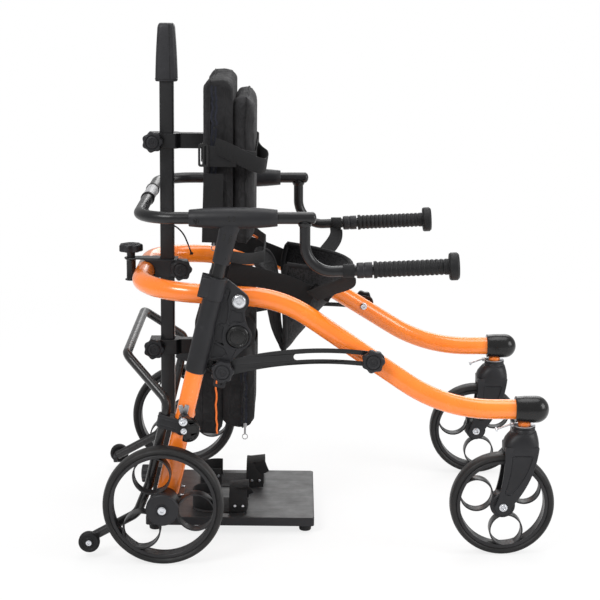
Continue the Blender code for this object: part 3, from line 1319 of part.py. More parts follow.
def build():
    clear_scene()
    make_looks()
    root = add_empty("frame_origin", None, (-LENGTH_MIDDLE, 0.0, 0.0))
    mast_frame = add_empty("mast_frame", root, (MAST_X, 0.0, 0.0), (0.0, MAST_LEAN, 0.0))
    make_main_tube(root)
    for side in SIDES:
        leg_frame = add_empty(f"leg_frame_{side}", root,
                              (0.0, outward(side) * LEG_HALF, REAR_WHEEL_R),
                              (0.0, LEG_TILT, 0.0))
        make_front_end(side, root)
        make_fork(side, root)
        make_wheel(side, "front", root, WHEELBASE, FRONT_WHEEL_R, TUBE_FRONT_HALF,
                   FRONT_HUB_R, FRONT_SPOKE_TURN, -TYRE_WIDTH / 2 - FORK_LEG_CLEAR + RUN_GAP,
                   TYRE_WIDTH / 2 + FORK_LEG_CLEAR - RUN_GAP)
        make_wheel(side, "rear", root, 0.0, REAR_WHEEL_R, REAR_TRACK / 2, REAR_HUB_R,
                   REAR_SPOKE_TURN, LEG_HALF + LEG_R + RUN_GAP - REAR_TRACK / 2, HUB_REACH)
        make_leg(side, leg_frame)
        make_leg_sleeve(side, leg_frame)
        make_pivot(side, leg_frame)
        make_strut(side, root)
        make_brake(side, root, leg_frame)
        make_tip_wheel(side, root)
        make_bar_sleeve(side, root, leg_frame)
        make_handle(side, root)
        make_front_strap(side, root)
    make_kick_bar(root)
    make_handlebar(root)
    make_mast(mast_frame)
    make_mast_clamp(root, mast_frame)
    upper = make_arm("upper_arm", mast_frame, UPPER_ARM_Z, UPPER_REACH)
    lower = make_arm("lower_arm", mast_frame, LOWER_ARM_Z, LOWER_REACH)
    make_cushions("trunk", upper, UPPER_ARM_Z, UPPER_REACH, UPPER_BACK, UPPER_BACK_Z,
                  UPPER_FRONT, UPPER_FRONT_Z)
    make_cushions("knee", lower, LOWER_ARM_Z, LOWER_REACH, LOWER_BACK, LOWER_BACK_Z,
                  LOWER_FRONT, LOWER_FRONT_Z)
    make_chest_strap(upper)
    make_footplate(mast_frame)
    make_saddle(root)
    make_rear_strap(root)
    make_tie_cord(root)


build()
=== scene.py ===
"""Looks of a pediatric standing frame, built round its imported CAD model.

Metres, +Z up, +X forward, +Y to the child's left, floor at Z = 0. As in the CAD
source, lengths along X are written from the rear axle, and SHIFT moves them to
the origin of the frame.
"""

import math

import bmesh
import bpy
from mathutils import Matrix, Vector, noise
from mathutils.bvhtree import BVHTree


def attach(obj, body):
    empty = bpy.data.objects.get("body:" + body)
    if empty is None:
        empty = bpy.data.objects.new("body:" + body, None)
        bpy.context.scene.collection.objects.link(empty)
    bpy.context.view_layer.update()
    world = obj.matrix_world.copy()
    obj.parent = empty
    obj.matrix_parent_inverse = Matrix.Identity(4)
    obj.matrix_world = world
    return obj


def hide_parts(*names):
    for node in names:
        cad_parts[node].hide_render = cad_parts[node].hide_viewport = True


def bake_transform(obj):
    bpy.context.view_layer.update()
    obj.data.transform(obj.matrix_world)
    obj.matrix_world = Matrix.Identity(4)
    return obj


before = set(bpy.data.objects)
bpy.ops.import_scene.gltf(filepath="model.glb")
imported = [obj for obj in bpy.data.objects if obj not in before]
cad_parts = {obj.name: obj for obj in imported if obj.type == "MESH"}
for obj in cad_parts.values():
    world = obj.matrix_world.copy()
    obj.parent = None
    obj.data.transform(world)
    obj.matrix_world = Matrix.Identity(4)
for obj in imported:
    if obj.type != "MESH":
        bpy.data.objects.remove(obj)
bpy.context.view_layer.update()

# Sizes that the CAD source gives too
WHEELBASE = 0.649
REAR_TRACK = 0.620
REAR_WHEEL_R = 0.115
FRONT_WHEEL_R = 0.1007
TYRE_WIDTH = 0.036
TYRE_DEPTH = 0.014
RIM_WALL = 0.0062
RIM_HALF = 0.015
SPOKE_RING_WALL = 0.003
REAR_SPOKE_TURN = math.radians(109)
FRONT_SPOKE_TURN = math.radians(39)
REAR_HUB_R = 0.031
FRONT_HUB_R = 0.024
HUB_REACH = 0.035
TUBE_R = 0.019
TUBE_REAR = Vector((-0.052, 0.205, 0.510))
TUBE_KNEE = Vector((0.226, 0.205, 0.4925))
TUBE_FOOT = Vector((0.5366, 0.2565, 0.2875))
TUBE_FRONT = Vector((0.706, 0.2565, 0.2875))
TUBE_BENDS = (0.300, 0.220, 0.115)
CAP_R = 0.0258
CAP_REAR_X = 0.6704
CAP_LENGTH = 0.065
CASTER_TRAIL = 0.0394
STEM_X = WHEELBASE + CASTER_TRAIL
FORK_TOP_Z = 0.2553
FORK_COLLAR_R = 0.0215
FORK_SHOULDER_Z = 0.224
FORK_BOTTOM_Z = 0.2065
FORK_LEG_THICK = 0.008
FORK_LEG_IN = 0.021
FORK_FOOT_R = 0.016
LEG_TILT = math.radians(13.7)
LEG_HALF = 0.268
LEG_R = 0.0172
LEG_TOP = 0.3045
SLEEVE_BOTTOM = 0.2573
SLEEVE_STEP = 0.350
SLEEVE_TOP = 0.4030
SLEEVE_R = 0.0195
SLEEVE_NECK_R = 0.0183
PLATE_OUT = 0.002
PLATE_THICK = 0.0073
PIVOT_AT = (0.0500, 0.4085)
BUTTON_AT = (0.0629, 0.3416)
PLATE_TIP_AT = (0.0545, 0.2960)
STRUT_PIN_AT = (0.0503, 0.2712)
COLLAR_HEIGHT = 0.043
COLLAR_R = 0.0205
STRUT_FRONT = (0.398, 0.3857)
STRUT_RISE = 0.0145
STRUT_OUT = 0.2584
STRUT_THICK = 0.003
STRUT_TIP_RUN = 0.0080
STRUT_HALF = 0.015
STRUT_HOLE_R = 0.0045
SLOT_START = 0.143
SLOT_HALF = 0.00625
TUBE_AT_STRUT_Y = 0.2335
KNOB_R = 0.0225
KNOB_NECK = 0.0085
KNOB_THICK = 0.016
KNOB_LOBES = 7
KNOB_GROOVE = 0.0030
BRAKE_HEIGHT = 0.150
KICK_R = 0.009
KICK_BACK = 0.0355
CAM_PIVOT = (0.0405, 0.2800)
CAM_PIN = (0.0350, 0.2575)
CAM_CENTRE = (0.0485, 0.2620)
CAM_R = 0.0225
TIP_WHEEL_AT = (-0.1455, 0.0325)
TIP_WHEEL_R = 0.0205
TIP_WHEEL_HALF = 0.2865
BAR_Z = 0.6590
BAR_R = 0.0114
BAR_REAR_X = -0.0435
BAR_CORNER_R = 0.070
SLEEVE_T_X = 0.1357
SLEEVE_T_LENGTH = 0.165
SOCKET_BOTTOM = 0.4725
POST_R = 0.012
HANDLE_START_X = 0.150
HANDLE_END_X = {"right": 0.2905, "left": 0.2785}
HANDLE_R = 0.0113
DROP_R = 0.0101
GRIP_Z = 0.5610
GRIP_RISE = math.radians(2.5)
GRIP_OFFSET = 0.1287
GRIP_LENGTH = 0.1590
GRIP_R = 0.0152
GRIP_END_R = 0.0262
GRIP_END_THICK = 0.018
MAST_X = -0.0136
MAST_LEAN = math.radians(0.6)
MAST_HALF = 0.01375
MAST_CORNER_R = 0.0028
MAST_TOP = 0.998
CLAMP_Z = 0.515
CLAMP_KNOB_X = 0.0290
SPINDLE_X = -0.0820
UPPER_ARM_Z = 0.7725
LOWER_ARM_Z = 0.3520
ARM_KNOB_X = -0.0255
PLATE_TOP = 0.0365
CORD_R = 0.0015
CORD_ROUTE = [
    (-0.0435, -0.030, 0.6442),
    (-0.0425, -0.032, 0.6360),
    (-0.0280, -0.040, 0.6225),
    (-0.0070, -0.048, 0.6140),
    (0.0140, -0.056, 0.6065),
    (0.0285, -0.062, 0.5930),
    (0.0375, -0.066, 0.5745),
    (0.0445, -0.068, 0.5550),
]

SIDES = {"right": -1.0, "left": 1.0}


def move(x, y, z):
    return Matrix.Translation((x, y, z))


LENGTH_MIDDLE = 0.29185
SHIFT = move(-LENGTH_MIDDLE, 0.0, 0.0)
MAST = SHIFT @ move(MAST_X, 0, 0) @ Matrix.Rotation(MAST_LEAN, 4, "Y")
UPRIGHT = {
    "right": Matrix(((1, 0, 0, 0), (0, 0, -1, 0), (0, 1, 0, 0), (0, 0, 0, 1))),
    "left": Matrix(((1, 0, 0, 0), (0, 0, 1, 0), (0, 1, 0, 0), (0, 0, 0, 1))),
}
ALONG_X = Matrix.Rotation(math.pi / 2, 4, "Y")
LEG = {side: SHIFT @ move(0, out * LEG_HALF, REAR_WHEEL_R)
       @ Matrix.Rotation(LEG_TILT, 4, "Y") for side, out in SIDES.items()}


# Camera

CAMERA_AT = (-0.03545, -3.4107, 1.1788)
CAMERA_TURN = (math.radians(77.87), 0.0, math.radians(-0.06))
CAMERA_LENS = 102.84
CAMERA_SENSOR = 36.0


def make_camera():
    data = bpy.data.cameras.new("camera")
    data.lens = CAMERA_LENS
    data.sensor_width = CAMERA_SENSOR
    camera = bpy.data.objects.new("camera", data)
    camera.location = CAMERA_AT
    camera.rotation_euler = CAMERA_TURN
    bpy.context.scene.collection.objects.link(camera)
    bpy.context.scene.camera = camera


# Node helpers for the materials

class Graph:
    """A material's node tree with short ways to add and join nodes."""

    def __init__(self, name):
        self.look = bpy.data.materials.new(name)
        self.look.use_nodes = True
        self.nodes = self.look.node_tree.nodes
        self.links = self.look.node_tree.links
        self.shader = self.nodes["Principled BSDF"]
        self.place = self.nodes.new("ShaderNodeTexCoord").outputs["Object"]

    def set(self, **values):
        for name, value in values.items():
            self.shader.inputs[name.replace("_", " ")].default_value = value

    def feed(self, node, values):
        for name, value in values.items():
            socket = node.inputs[name]
            if isinstance(value, bpy.types.NodeSocket):
                self.links.new(value, socket)
            else:
                socket.default_value = value

    def noise(self, scale, detail=3.0, place=None):
        node = self.nodes.new("ShaderNodeTexNoise")
        self.feed(node, {"Vector": place or self.place, "Scale": scale, "Detail": detail,
                         "Roughness": 0.55})
        return node.outputs["Fac"]

    def cells(self, scale, feature="F1"):
        node = self.nodes.new("ShaderNodeTexVoronoi")
        node.feature = feature
        self.feed(node, {"Vector": self.place, "Scale": scale})
        return node.outputs["Distance"]

    def stretch(self, scale):
        node = self.nodes.new("ShaderNodeMapping")
        self.feed(node, {"Vector": self.place, "Scale": scale})
        return node.outputs["Vector"]

    def waves(self, axis, period, place=None):
        """Height from 0 to 1 in bands across one axis."""
        node = self.nodes.new("ShaderNodeTexWave")
        node.bands_direction = axis
        self.feed(node, {"Vector": place or self.place,
                         "Scale": math.pi / (10 * period)})
        return node.outputs["Fac"]

    def math(self, operation, a, b):
        node = self.nodes.new("ShaderNodeMath")
        node.operation = operation
        self.feed(node, {0: a, 1: b})
        return node.outputs[0]

    def ramp(self, factor, low, high, start=0.3, stop=0.7):
        """A colour, or with plain numbers a value, between two as factor rises."""
        node = self.nodes.new("ShaderNodeValToRGB")
        self.links.new(factor, node.inputs["Fac"])
        first, last = node.color_ramp.elements
        first.position = start
        last.position = stop
        first.color = tint(low)
        last.color = tint(high)
        return node.outputs["Color"]

    def mix(self, factor, low, high):
        node = self.nodes.new("ShaderNodeMix")
        node.data_type = "RGBA"
        a, b = [s for s in node.inputs if s.type == "RGBA"]
        for socket, value in ((node.inputs[0], factor), (a, low), (b, high)):
            if isinstance(value, bpy.types.NodeSocket):
                self.links.new(value, socket)
            else:
                socket.default_value = value if socket == node.inputs[0] else tint(value)
        return [s for s in node.outputs if s.type == "RGBA"][0]

    def bump(self, height, strength, depth, under=None):
        node = self.nodes.new("ShaderNodeBump")
        self.feed(node, {"Height": height, "Strength": strength, "Distance": depth})
        if under:
            self.links.new(under, node.inputs["Normal"])
        return node.outputs["Normal"]

    def edges(self):
        """High on convex edges, where the colour is lightened as a painted highlight."""
        geometry = self.nodes.new("ShaderNodeNewGeometry")
        return self.ramp(geometry.outputs["Pointiness"], 0.0, 1.0, 0.52, 0.60)

    def finish(self, colour, roughness, normal):
        self.feed(self.shader, {"Base Color": colour, "Roughness": roughness,
                                "Normal": normal})
        return self.look


def tint(value):
    if isinstance(value, (int, float)):
        return (value, value, value, 1.0)
    return (*value[:3], 1.0)


def paint_look():
    g = Graph("orange_gloss_paint")
    broad = g.noise(9.0, 2.0)
    colour = g.ramp(broad, (0.93, 0.195, 0.014), (1.0, 0.245, 0.022))
    # Convex edges turn a paler orange: a painted highlight.
    colour = g.mix(g.math("MULTIPLY", g.edges(), 0.25), colour, (1.0, 0.36, 0.10))
    peel = g.noise(420.0, 2.0)
    roughness = g.ramp(g.noise(60.0), 0.20, 0.30)
    g.set(Coat_Weight=0.5, Coat_Roughness=0.08)
    return g.finish(colour, roughness, g.bump(peel, 0.10, 0.0004))


def coat_look(name, dark, light, rough, grain=1400.0, coat=0.0):
    """Powder coat or moulded plastic: fine grain and a painted highlight on its convex edges."""
    g = Graph(name)
    cloud = g.noise(14.0, 4.0)
    colour = g.ramp(cloud, dark, light)
    # A paler copy of the light colour on convex edges: a painted highlight.
    edge_highlight = tuple(min(1.0, c * 1.8 + 0.010) for c in light)
    colour = g.mix(g.math("MULTIPLY", g.edges(), 0.35), colour, edge_highlight)
    roughness = g.ramp(g.noise(85.0, 3.0), rough - 0.05, rough + 0.07)
    grains = g.noise(grain, 3.0)
    g.set(Coat_Weight=coat, Coat_Roughness=0.22, Specular_IOR_Level=0.32)
    return g.finish(colour, roughness, g.bump(grains, 0.22, 0.0003))


def metal_look(name, dark, light, rough):
    g = Graph(name)
    brushed = g.noise(300.0, 4.0, place=g.stretch((1.0, 1.0, 6.0)))
    colour = g.ramp(brushed, dark, light)
    roughness = g.ramp(g.noise(120.0), rough - 0.05, rough + 0.10)
    g.set(Metallic=1.0)
    return g.finish(colour, roughness, g.bump(brushed, 0.06, 0.0003))


def rubber_look(name, dark, light, rough):
    g = Graph(name)
    dust = g.noise(22.0, 5.0)
    colour = g.ramp(dust, dark, light, 0.35, 0.75)
    grains = g.noise(900.0, 3.0)
    roughness = g.ramp(g.noise(45.0), rough - 0.06, rough + 0.06)
    g.set(Specular_IOR_Level=0.30)
    return g.finish(colour, roughness, g.bump(grains, 0.35, 0.0004))


def weave_height(g, period):
    """Crossed yarns that show on faces turned any way."""
    x, y, z = (g.waves(axis, period) for axis in "XYZ")
    crossed = g.math("MULTIPLY", x, y)
    crossed = g.math("ADD", crossed, g.math("MULTIPLY", y, z))
    return g.math("ADD", crossed, g.math("MULTIPLY", z, x))


def cloth_look(name, dark, light, period=0.0016, folds=0.45):
    """Woven nylon with yarns, soft folds and a rubbed bloom."""
    g = Graph(name)
    cloud = g.noise(16.0, 4.0)
    yarns = weave_height(g, period)
    shade = g.math("ADD", g.math("MULTIPLY", cloud, 0.8), g.math("MULTIPLY", yarns, 0.16))
    colour = g.ramp(shade, dark, light, 0.32, 0.80)
    slack = g.noise(34.0, 2.0, place=g.stretch((1.0, 1.0, 0.45)))
    folded = g.bump(slack, folds, 0.006)
    roughness = g.ramp(g.noise(60.0), 0.78, 0.92)
    g.set(Sheen_Weight=0.05, Sheen_Roughness=0.5, Specular_IOR_Level=0.25)
    return g.finish(colour, roughness, g.bump(yarns, 0.45, 0.0005, folded))


def mesh_look():
    """Spacer mesh: rows of small round openings in a dark knit."""
    g = Graph("spacer_mesh")
    holes = g.cells(330.0)
    rim = g.ramp(holes, 0.0, 1.0, 0.25, 0.55)
    cloud = g.noise(18.0, 3.0)
    thread = g.ramp(cloud, (0.012, 0.012, 0.013), (0.028, 0.027, 0.029))
    colour = g.mix(rim, (0.002, 0.002, 0.002), thread)
    g.set(Sheen_Weight=0.05, Sheen_Roughness=0.5, Specular_IOR_Level=0.25)
    return g.finish(colour, g.ramp(cloud, 0.80, 0.95), g.bump(rim, 0.6, 0.0008))


def webbing_look(name, dark, light):
    """Flat woven strap: ribs across it, laid out by the strap's own length."""
    g = Graph(name)
    own = g.nodes.new("ShaderNodeUVMap")
    own.uv_map = "UVMap"
    run = own.outputs["UV"]
    ribs = g.waves("X", 0.0016, place=run)
    cords = g.waves("Y", 0.0024, place=run)
    weave = g.math("ADD", g.math("MULTIPLY", ribs, 0.6), g.math("MULTIPLY", cords, 0.6))
    cloud = g.noise(24.0, 4.0)
    shade = g.math("ADD", g.math("MULTIPLY", cloud, 0.75), g.math("MULTIPLY", weave, 0.25))
    colour = g.ramp(shade, dark, light, 0.35, 0.80)
    g.set(Sheen_Weight=0.05, Sheen_Roughness=0.5, Specular_IOR_Level=0.28)
    return g.finish(colour, g.ramp(cloud, 0.68, 0.88), g.bump(weave, 0.6, 0.0005))


def vinyl_look():
    """Soft vinyl with a leather grain."""
    g = Graph("soft_vinyl")
    cells = g.cells(620.0, "SMOOTH_F1")
    cloud = g.noise(26.0, 4.0)
    colour = g.ramp(cloud, (0.011, 0.011, 0.013), (0.020, 0.020, 0.023))
    roughness = g.ramp(cells, 0.42, 0.62, 0.1, 0.7)
    g.set(Specular_IOR_Level=0.35)
    slack = g.bump(g.noise(40.0, 2.0), 0.3, 0.003)
    return g.finish(colour, roughness, g.bump(cells, 0.5, 0.0005, slack))


def laminate_look():
    """Textured black laminate with fine scuffs along the foot's direction."""
    g = Graph("plate_laminate")
    scuffs = g.noise(70.0, 6.0, place=g.stretch((0.25, 2.2, 1.0)))
    colour = g.ramp(scuffs, (0.016, 0.016, 0.017), (0.042, 0.042, 0.043), 0.35, 0.80)
    roughness = g.ramp(g.noise(30.0, 4.0), 0.36, 0.52)
    pebbles = g.cells(480.0)
    return g.finish(colour, roughness, g.bump(pebbles, 0.25, 0.0004))


def piping_look():
    g = Graph("orange_piping")
    twist = g.noise(500.0, 2.0)
    colour = g.ramp(twist, (0.86, 0.150, 0.015), (0.98, 0.240, 0.040))
    return g.finish(colour, g.ramp(twist, 0.50, 0.70), g.bump(twist, 0.4, 0.0004))


LOOKS = {
    "paint": paint_look(),
    "coat": coat_look("black_powder_coat", (0.0045, 0.0045, 0.005), (0.008, 0.008, 0.009),
                      0.34, 900.0, 0.15),
    "kick": coat_look("gunmetal_coat", (0.010, 0.0095, 0.010), (0.018, 0.017, 0.018),
                      0.28, 700.0, 0.30),
    "plastic": coat_look("moulded_plastic", (0.009, 0.009, 0.0105), (0.015, 0.015, 0.0175),
                         0.46),
    "gloss": coat_look("gloss_plastic", (0.0060, 0.0060, 0.0062), (0.011, 0.011, 0.0112),
                       0.24, 600.0),
    "wheel": coat_look("wheel_plastic", (0.013, 0.0125, 0.0135), (0.021, 0.0205, 0.022),
                       0.36, 800.0),
    "tyre": rubber_look("tyre_rubber", (0.009, 0.0088, 0.009), (0.019, 0.018, 0.018), 0.50),
    "grip": rubber_look("grip_rubber", (0.0055, 0.0055, 0.006), (0.011, 0.011, 0.012), 0.55),
    "zinc": metal_look("bright_zinc", (0.50, 0.52, 0.55), (0.76, 0.77, 0.80), 0.24),
    "steel": metal_look("grey_steel", (0.26, 0.26, 0.27), (0.42, 0.42, 0.43), 0.34),
    # A light grey copy of the black coat for the handlebar's rear: a painted highlight.
    "highlight_grey": coat_look("painted_highlight_sleeve", (0.36, 0.36, 0.37), (0.50, 0.50, 0.51), 0.38),
    "nylon": cloth_look("black_nylon", (0.0048, 0.0047, 0.0052), (0.019, 0.0183, 0.0198)),
    # A lighter copy of the black nylon: painted light for the trunk's front cushion.
    "panel": cloth_look("lit_nylon", (0.012, 0.0117, 0.0125), (0.036, 0.035, 0.037)),
    "zip": cloth_look("zip_tape", (0.007, 0.008, 0.014), (0.020, 0.022, 0.034), 0.0022, 0.0),
    "mesh": mesh_look(),
    "webbing": webbing_look("black_webbing", (0.0045, 0.0045, 0.005),
                            (0.0145, 0.0145, 0.0155)),
    "vinyl": vinyl_look(),
    "laminate": laminate_look(),
    "piping": piping_look(),
}


# Shapes

def turned(profile, segments, ring=False):
    """A body turned about Z from (radius, height) points."""
    bm = bmesh.new()
    points = [bm.verts.new((radius, 0.0, height)) for radius, height in profile]
    pairs = list(zip(points, points[1:]))
    if ring:
        pairs.append((points[-1], points[0]))
    edges = [bm.edges.new(pair) for pair in pairs]
    bmesh.ops.spin(bm, geom=points + edges, axis=(0, 0, 1), cent=(0, 0, 0),
                   angle=2 * math.pi, steps=segments, use_merge=True)
    bmesh.ops.remove_doubles(bm, verts=bm.verts, dist=1e-6)
    loose = [edge for edge in bm.edges if not edge.link_faces]
    bmesh.ops.delete(bm, geom=loose, context="EDGES")
    return bm


def softened(points, radius, closed=False, steps=3):
    """An outline of (u, v) points with its corners rounded off."""
    points = [Vector(p) for p in points]
    count = len(points)
    result = []
    for i, corner in enumerate(points):
        if not closed and i in (0, count - 1):
            result.append(corner)
            continue
        before = points[i - 1]
        after = points[(i + 1) % count]
        back = before - corner
        ahead = after - corner
        start = corner + back.normalized() * min(radius, back.length * 0.45)
        stop = corner + ahead.normalized() * min(radius, ahead.length * 0.45)
        for k in range(steps + 1):
            t = k / steps
            result.append(start * (1 - t) ** 2 + corner * 2 * t * (1 - t) + stop * t ** 2)
    return [tuple(p) for p in result]


def round_rod(radius, low, high, edge=0.0006):
    edge = min(edge, radius * 0.4)
    return turned(softened([(0, low), (radius, low), (radius, high), (0, high)], edge),
                  56)


def round_ring(outer, inner, low, high, edge):
    profile = softened([(inner, low), (outer, low), (outer, high), (inner, high)], edge,
                       closed=True)
    return turned(profile, 56, ring=True)


def loft(rings):
    """A closed body through rings of equally many points."""
    bm = bmesh.new()
    loops = [[bm.verts.new(point) for point in ring] for ring in rings]
    count = len(loops[0])
    for low, high in zip(loops, loops[1:]):
        for i in range(count):
            j = (i + 1) % count
            bm.faces.new((low[i], low[j], high[j], high[i]))
    bm.faces.new(list(reversed(loops[0])))
    bm.faces.new(loops[-1])
    return bm


def oval(half_x, half_y, height, centre_x=0.0, count=48, squareness=2.0):
    points = []
    for i in range(count):
        angle = 2 * math.pi * i / count
        c = math.cos(angle)
        s = math.sin(angle)
        x = math.copysign(abs(c) ** (2 / squareness), c) * half_x
        y = math.copysign(abs(s) ** (2 / squareness), s) * half_y
        points.append(Vector((centre_x + x, y, height)))
    return points


def arc(centre, radius, start, stop, count):
    """Points on a circular arc; the angles are in degrees."""
    points = []
    for i in range(count + 1):
        angle = math.radians(start + (stop - start) * i / count)
        points.append((centre[0] + radius * math.cos(angle),
                       centre[1] + radius * math.sin(angle)))
    return points


def circle(centre, radius, count=32):
    return arc(centre, radius, 0, 360, count)[:-1]


def curve_between(start, control, stop, count):
    points = []
    for i in range(1, count + 1):
        t = i / count
        weights = ((1 - t) ** 2, 2 * t * (1 - t), t ** 2)
        points.append(tuple(sum(w * p[k] for w, p in zip(weights, (start, control, stop)))
                            for k in (0, 1)))
    return points


def rounded_rectangle(x0, x1, y0, y1, radius, steps=6):
    corners = (((x1 - radius, y1 - radius), 0), ((x0 + radius, y1 - radius), 90),
               ((x0 + radius, y0 + radius), 180), ((x1 - radius, y0 + radius), 270))
    points = []
    for centre, start in corners:
        points += arc(centre, radius, start, start + 90, steps)
    return points


def filled(loops):
    """Faces between flat outlines, the inner ones left open, at height 0."""
    curve = bpy.data.curves.new("outline", "CURVE")
    curve.dimensions = "2D"
    curve.fill_mode = "BOTH"
    for loop in loops:
        spline = curve.splines.new("POLY")
        spline.points.add(len(loop) - 1)
        for point, (x, y) in zip(spline.points, loop):
            point.co = (x, y, 0.0, 1.0)
        spline.use_cyclic_u = True
    guide = bpy.data.objects.new("guide", curve)
    bpy.context.collection.objects.link(guide)
    depsgraph = bpy.context.evaluated_depsgraph_get()
    mesh = bpy.data.meshes.new_from_object(guide.evaluated_get(depsgraph))
    bm = bmesh.new()
    bm.from_mesh(mesh)
    bmesh.ops.remove_doubles(bm, verts=bm.verts, dist=1e-6)
    bpy.data.objects.remove(guide)
    bpy.data.meshes.remove(mesh)
    return bm


def plate(outline, low, high, holes=(), pockets=(), depth=0.0012):
    """A flat plate with holes, and shallow pockets in its high face."""
    bm = filled([outline, *holes])
    bmesh.ops.translate(bm, verts=bm.verts, vec=(0, 0, low))
    add_mesh(bm, filled([outline, *holes, *pockets]), high)
    for loop in (outline, *holes):
        wall(bm, loop, low, high)
    for loop in pockets:
        wall(bm, loop, high - depth, high)
        add_mesh(bm, filled([loop]), high - depth)
    bmesh.ops.remove_doubles(bm, verts=bm.verts, dist=2e-6)
    return bm


def add_mesh(bm, other, height):
    mesh = bpy.data.meshes.new("part")
    bmesh.ops.translate(other, verts=other.verts, vec=(0, 0, height))
    other.to_mesh(mesh)
    other.free()
    bm.from_mesh(mesh)
    bpy.data.meshes.remove(mesh)


def wall(bm, loop, low, high):
    lower = [bm.verts.new((x, y, low)) for x, y in loop]
    upper = [bm.verts.new((x, y, high)) for x, y in loop]
    for i in range(len(loop)):
        j = (i + 1) % len(loop)
        bm.faces.new((lower[i], lower[j], upper[j], upper[i]))


def rounded_path(corners, radii, step=math.radians(4)):
    """Straight runs through 3-D corners, each bend an arc of its radius."""
    corners = [Vector(c) for c in corners]
    points = [corners[0]]
    for before, corner, after, radius in zip(corners, corners[1:], corners[2:], radii):
        into = (corner - before).normalized()
        out = (after - corner).normalized()
        turn = into.angle(out)
        if turn < 1e-4:
            continue
        reach = radius * math.tan(turn / 2)
        inward = (out - into).normalized()
        centre = corner + inward * (radius / math.cos(turn / 2))
        first = corner - into * reach - centre
        axis = into.cross(out).normalized()
        count = max(2, math.ceil(turn / step))
        for i in range(count + 1):
            points.append(centre + Matrix.Rotation(turn * i / count, 3, axis) @ first)
    points.append(corners[-1])
    return points


def smooth(points, per_span):
    """Points on a smooth curve through the given points."""
    points = [Vector(p) for p in points]
    padded = [points[0]] + points + [points[-1]]
    result = []
    for a, b, c, d in zip(padded, padded[1:], padded[2:], padded[3:]):
        for i in range(per_span):
            t = i / per_span
            result.append(0.5 * (2 * b + (c - a) * t + (2 * a - 5 * b + 4 * c - d) * t ** 2
                                 + (3 * b - 3 * c + d - a) * t ** 3))
    result.append(points[-1])
    return result


def headings(points):
    found = []
    for i in range(len(points)):
        before = points[max(i - 1, 0)]
        after = points[min(i + 1, len(points) - 1)]
        found.append((after - before).normalized())
    return found


def sweep(points, section, across=None):
    """A bar of one cross-section along a path; across keeps a strap's width level."""
    points = [Vector(p) for p in points]
    ways = headings(points)
    side = across or (ways[0].orthogonal().normalized())
    rings = []
    for point, way in zip(points, ways):
        if across:
            side = across
        side = (side - way * side.dot(way)).normalized()
        up = way.cross(side)
        rings.append([point + side * u + up * v for u, v in section])
    bm = loft(rings)
    lay_out(bm, points, len(section))
    return bm


def lay_out(bm, points, count):
    """Metres along and round the bar, kept as its UV map."""
    run = [0.0]
    for a, b in zip(points, points[1:]):
        run.append(run[-1] + (b - a).length)
    layer = bm.loops.layers.uv.new("UVMap")
    bm.verts.index_update()
    bm.verts.ensure_lookup_table()
    girth = [0.0]
    for i in range(count):
        gap = bm.verts[i].co - bm.verts[(i + 1) % count].co
        girth.append(girth[-1] + gap.length)
    for face in bm.faces:
        around = {loop.vert.index % count for loop in face.loops}
        wraps = 0 in around and count - 1 in around
        for loop in face.loops:
            ring, spot = divmod(loop.vert.index, count)
            v = girth[count] if wraps and spot == 0 else girth[spot]
            loop[layer].uv = (run[ring], v)


def tube(points, radius, sides):
    return sweep(points, circle((0, 0), radius, sides))


def strap(points, across, width, thick=0.002):
    """Webbing along a path; across is the way that its width points."""
    half = width / 2
    section = rounded_rectangle(-half, half, -thick / 2, thick / 2, thick * 0.45, 2)
    return sweep(points, section, Vector(across).normalized())


def bolt_head(radius, height, socket=0.5):
    """A domed head with a six-sided socket, from height 0 up."""
    count = 48
    def round_at(r, z):
        return oval(r, r, z, count=count)
    def hex_at(r, z):
        ring = []
        for point in oval(1.0, 1.0, z, count=count):
            angle = math.atan2(point.y, point.x)
            fold = (angle % (math.pi / 3)) - math.pi / 6
            reach = r * math.cos(math.pi / 6) / math.cos(fold)
            ring.append(Vector((point.x * reach, point.y * reach, z)))
        return ring
    rings = [round_at(radius, 0.0), round_at(radius, height * 0.45),
             round_at(radius * 0.93, height * 0.80), round_at(radius * 0.78, height * 0.97),
             round_at(radius * socket * 1.18, height),
             hex_at(radius * socket, height * 0.98),
             hex_at(radius * socket * 0.95, height * 0.35)]
    return loft(rings)


def star(radius, height, count):
    points = []
    for i in range(count):
        angle = 2 * math.pi * i / count
        wave = (math.cos(KNOB_LOBES * angle) - 1) / 2
        reach = radius + KNOB_GROOVE * wave * radius / KNOB_R
        points.append(Vector((reach * math.cos(angle), reach * math.sin(angle), height)))
    return points


def star_knob(radius=KNOB_R, neck=KNOB_NECK):
    """A star knob, its neck below height 0 and a stepped boss on its top."""
    count = 112
    thick = KNOB_THICK
    def ring(r, z):
        return oval(r, r, z, count=count)
    rings = [ring(0.0083, -neck), ring(0.0085, -neck * 0.3), ring(0.0105, -0.0004),
             star(radius * 0.93, 0.0, count), star(radius, 0.0014, count),
             star(radius, thick - 0.0050, count), star(radius * 0.985, thick - 0.0034, count),
             star(radius * 0.93, thick - 0.0018, count),
             ring(radius * 0.70, thick - 0.0008), ring(radius * 0.66, thick - 0.0009),
             ring(radius * 0.63, thick - 0.0022), ring(radius * 0.58, thick - 0.0022),
             ring(radius * 0.55, thick - 0.0006), ring(radius * 0.50, thick),
             ring(radius * 0.36, thick), ring(radius * 0.33, thick - 0.0009),
             ring(radius * 0.16, thick - 0.0012), ring(radius * 0.12, thick - 0.0004)]
    return loft(rings)


def block(size, edge, centre):
    bm = bmesh.new()
    bmesh.ops.create_cube(bm, size=1.0)
    bmesh.ops.scale(bm, vec=size, verts=bm.verts)
    bmesh.ops.bevel(bm, geom=bm.edges, offset=edge, segments=3, affect="EDGES",
                    profile=0.5, clamp_overlap=True)
    bmesh.ops.translate(bm, verts=bm.verts, vec=centre)
    return bm


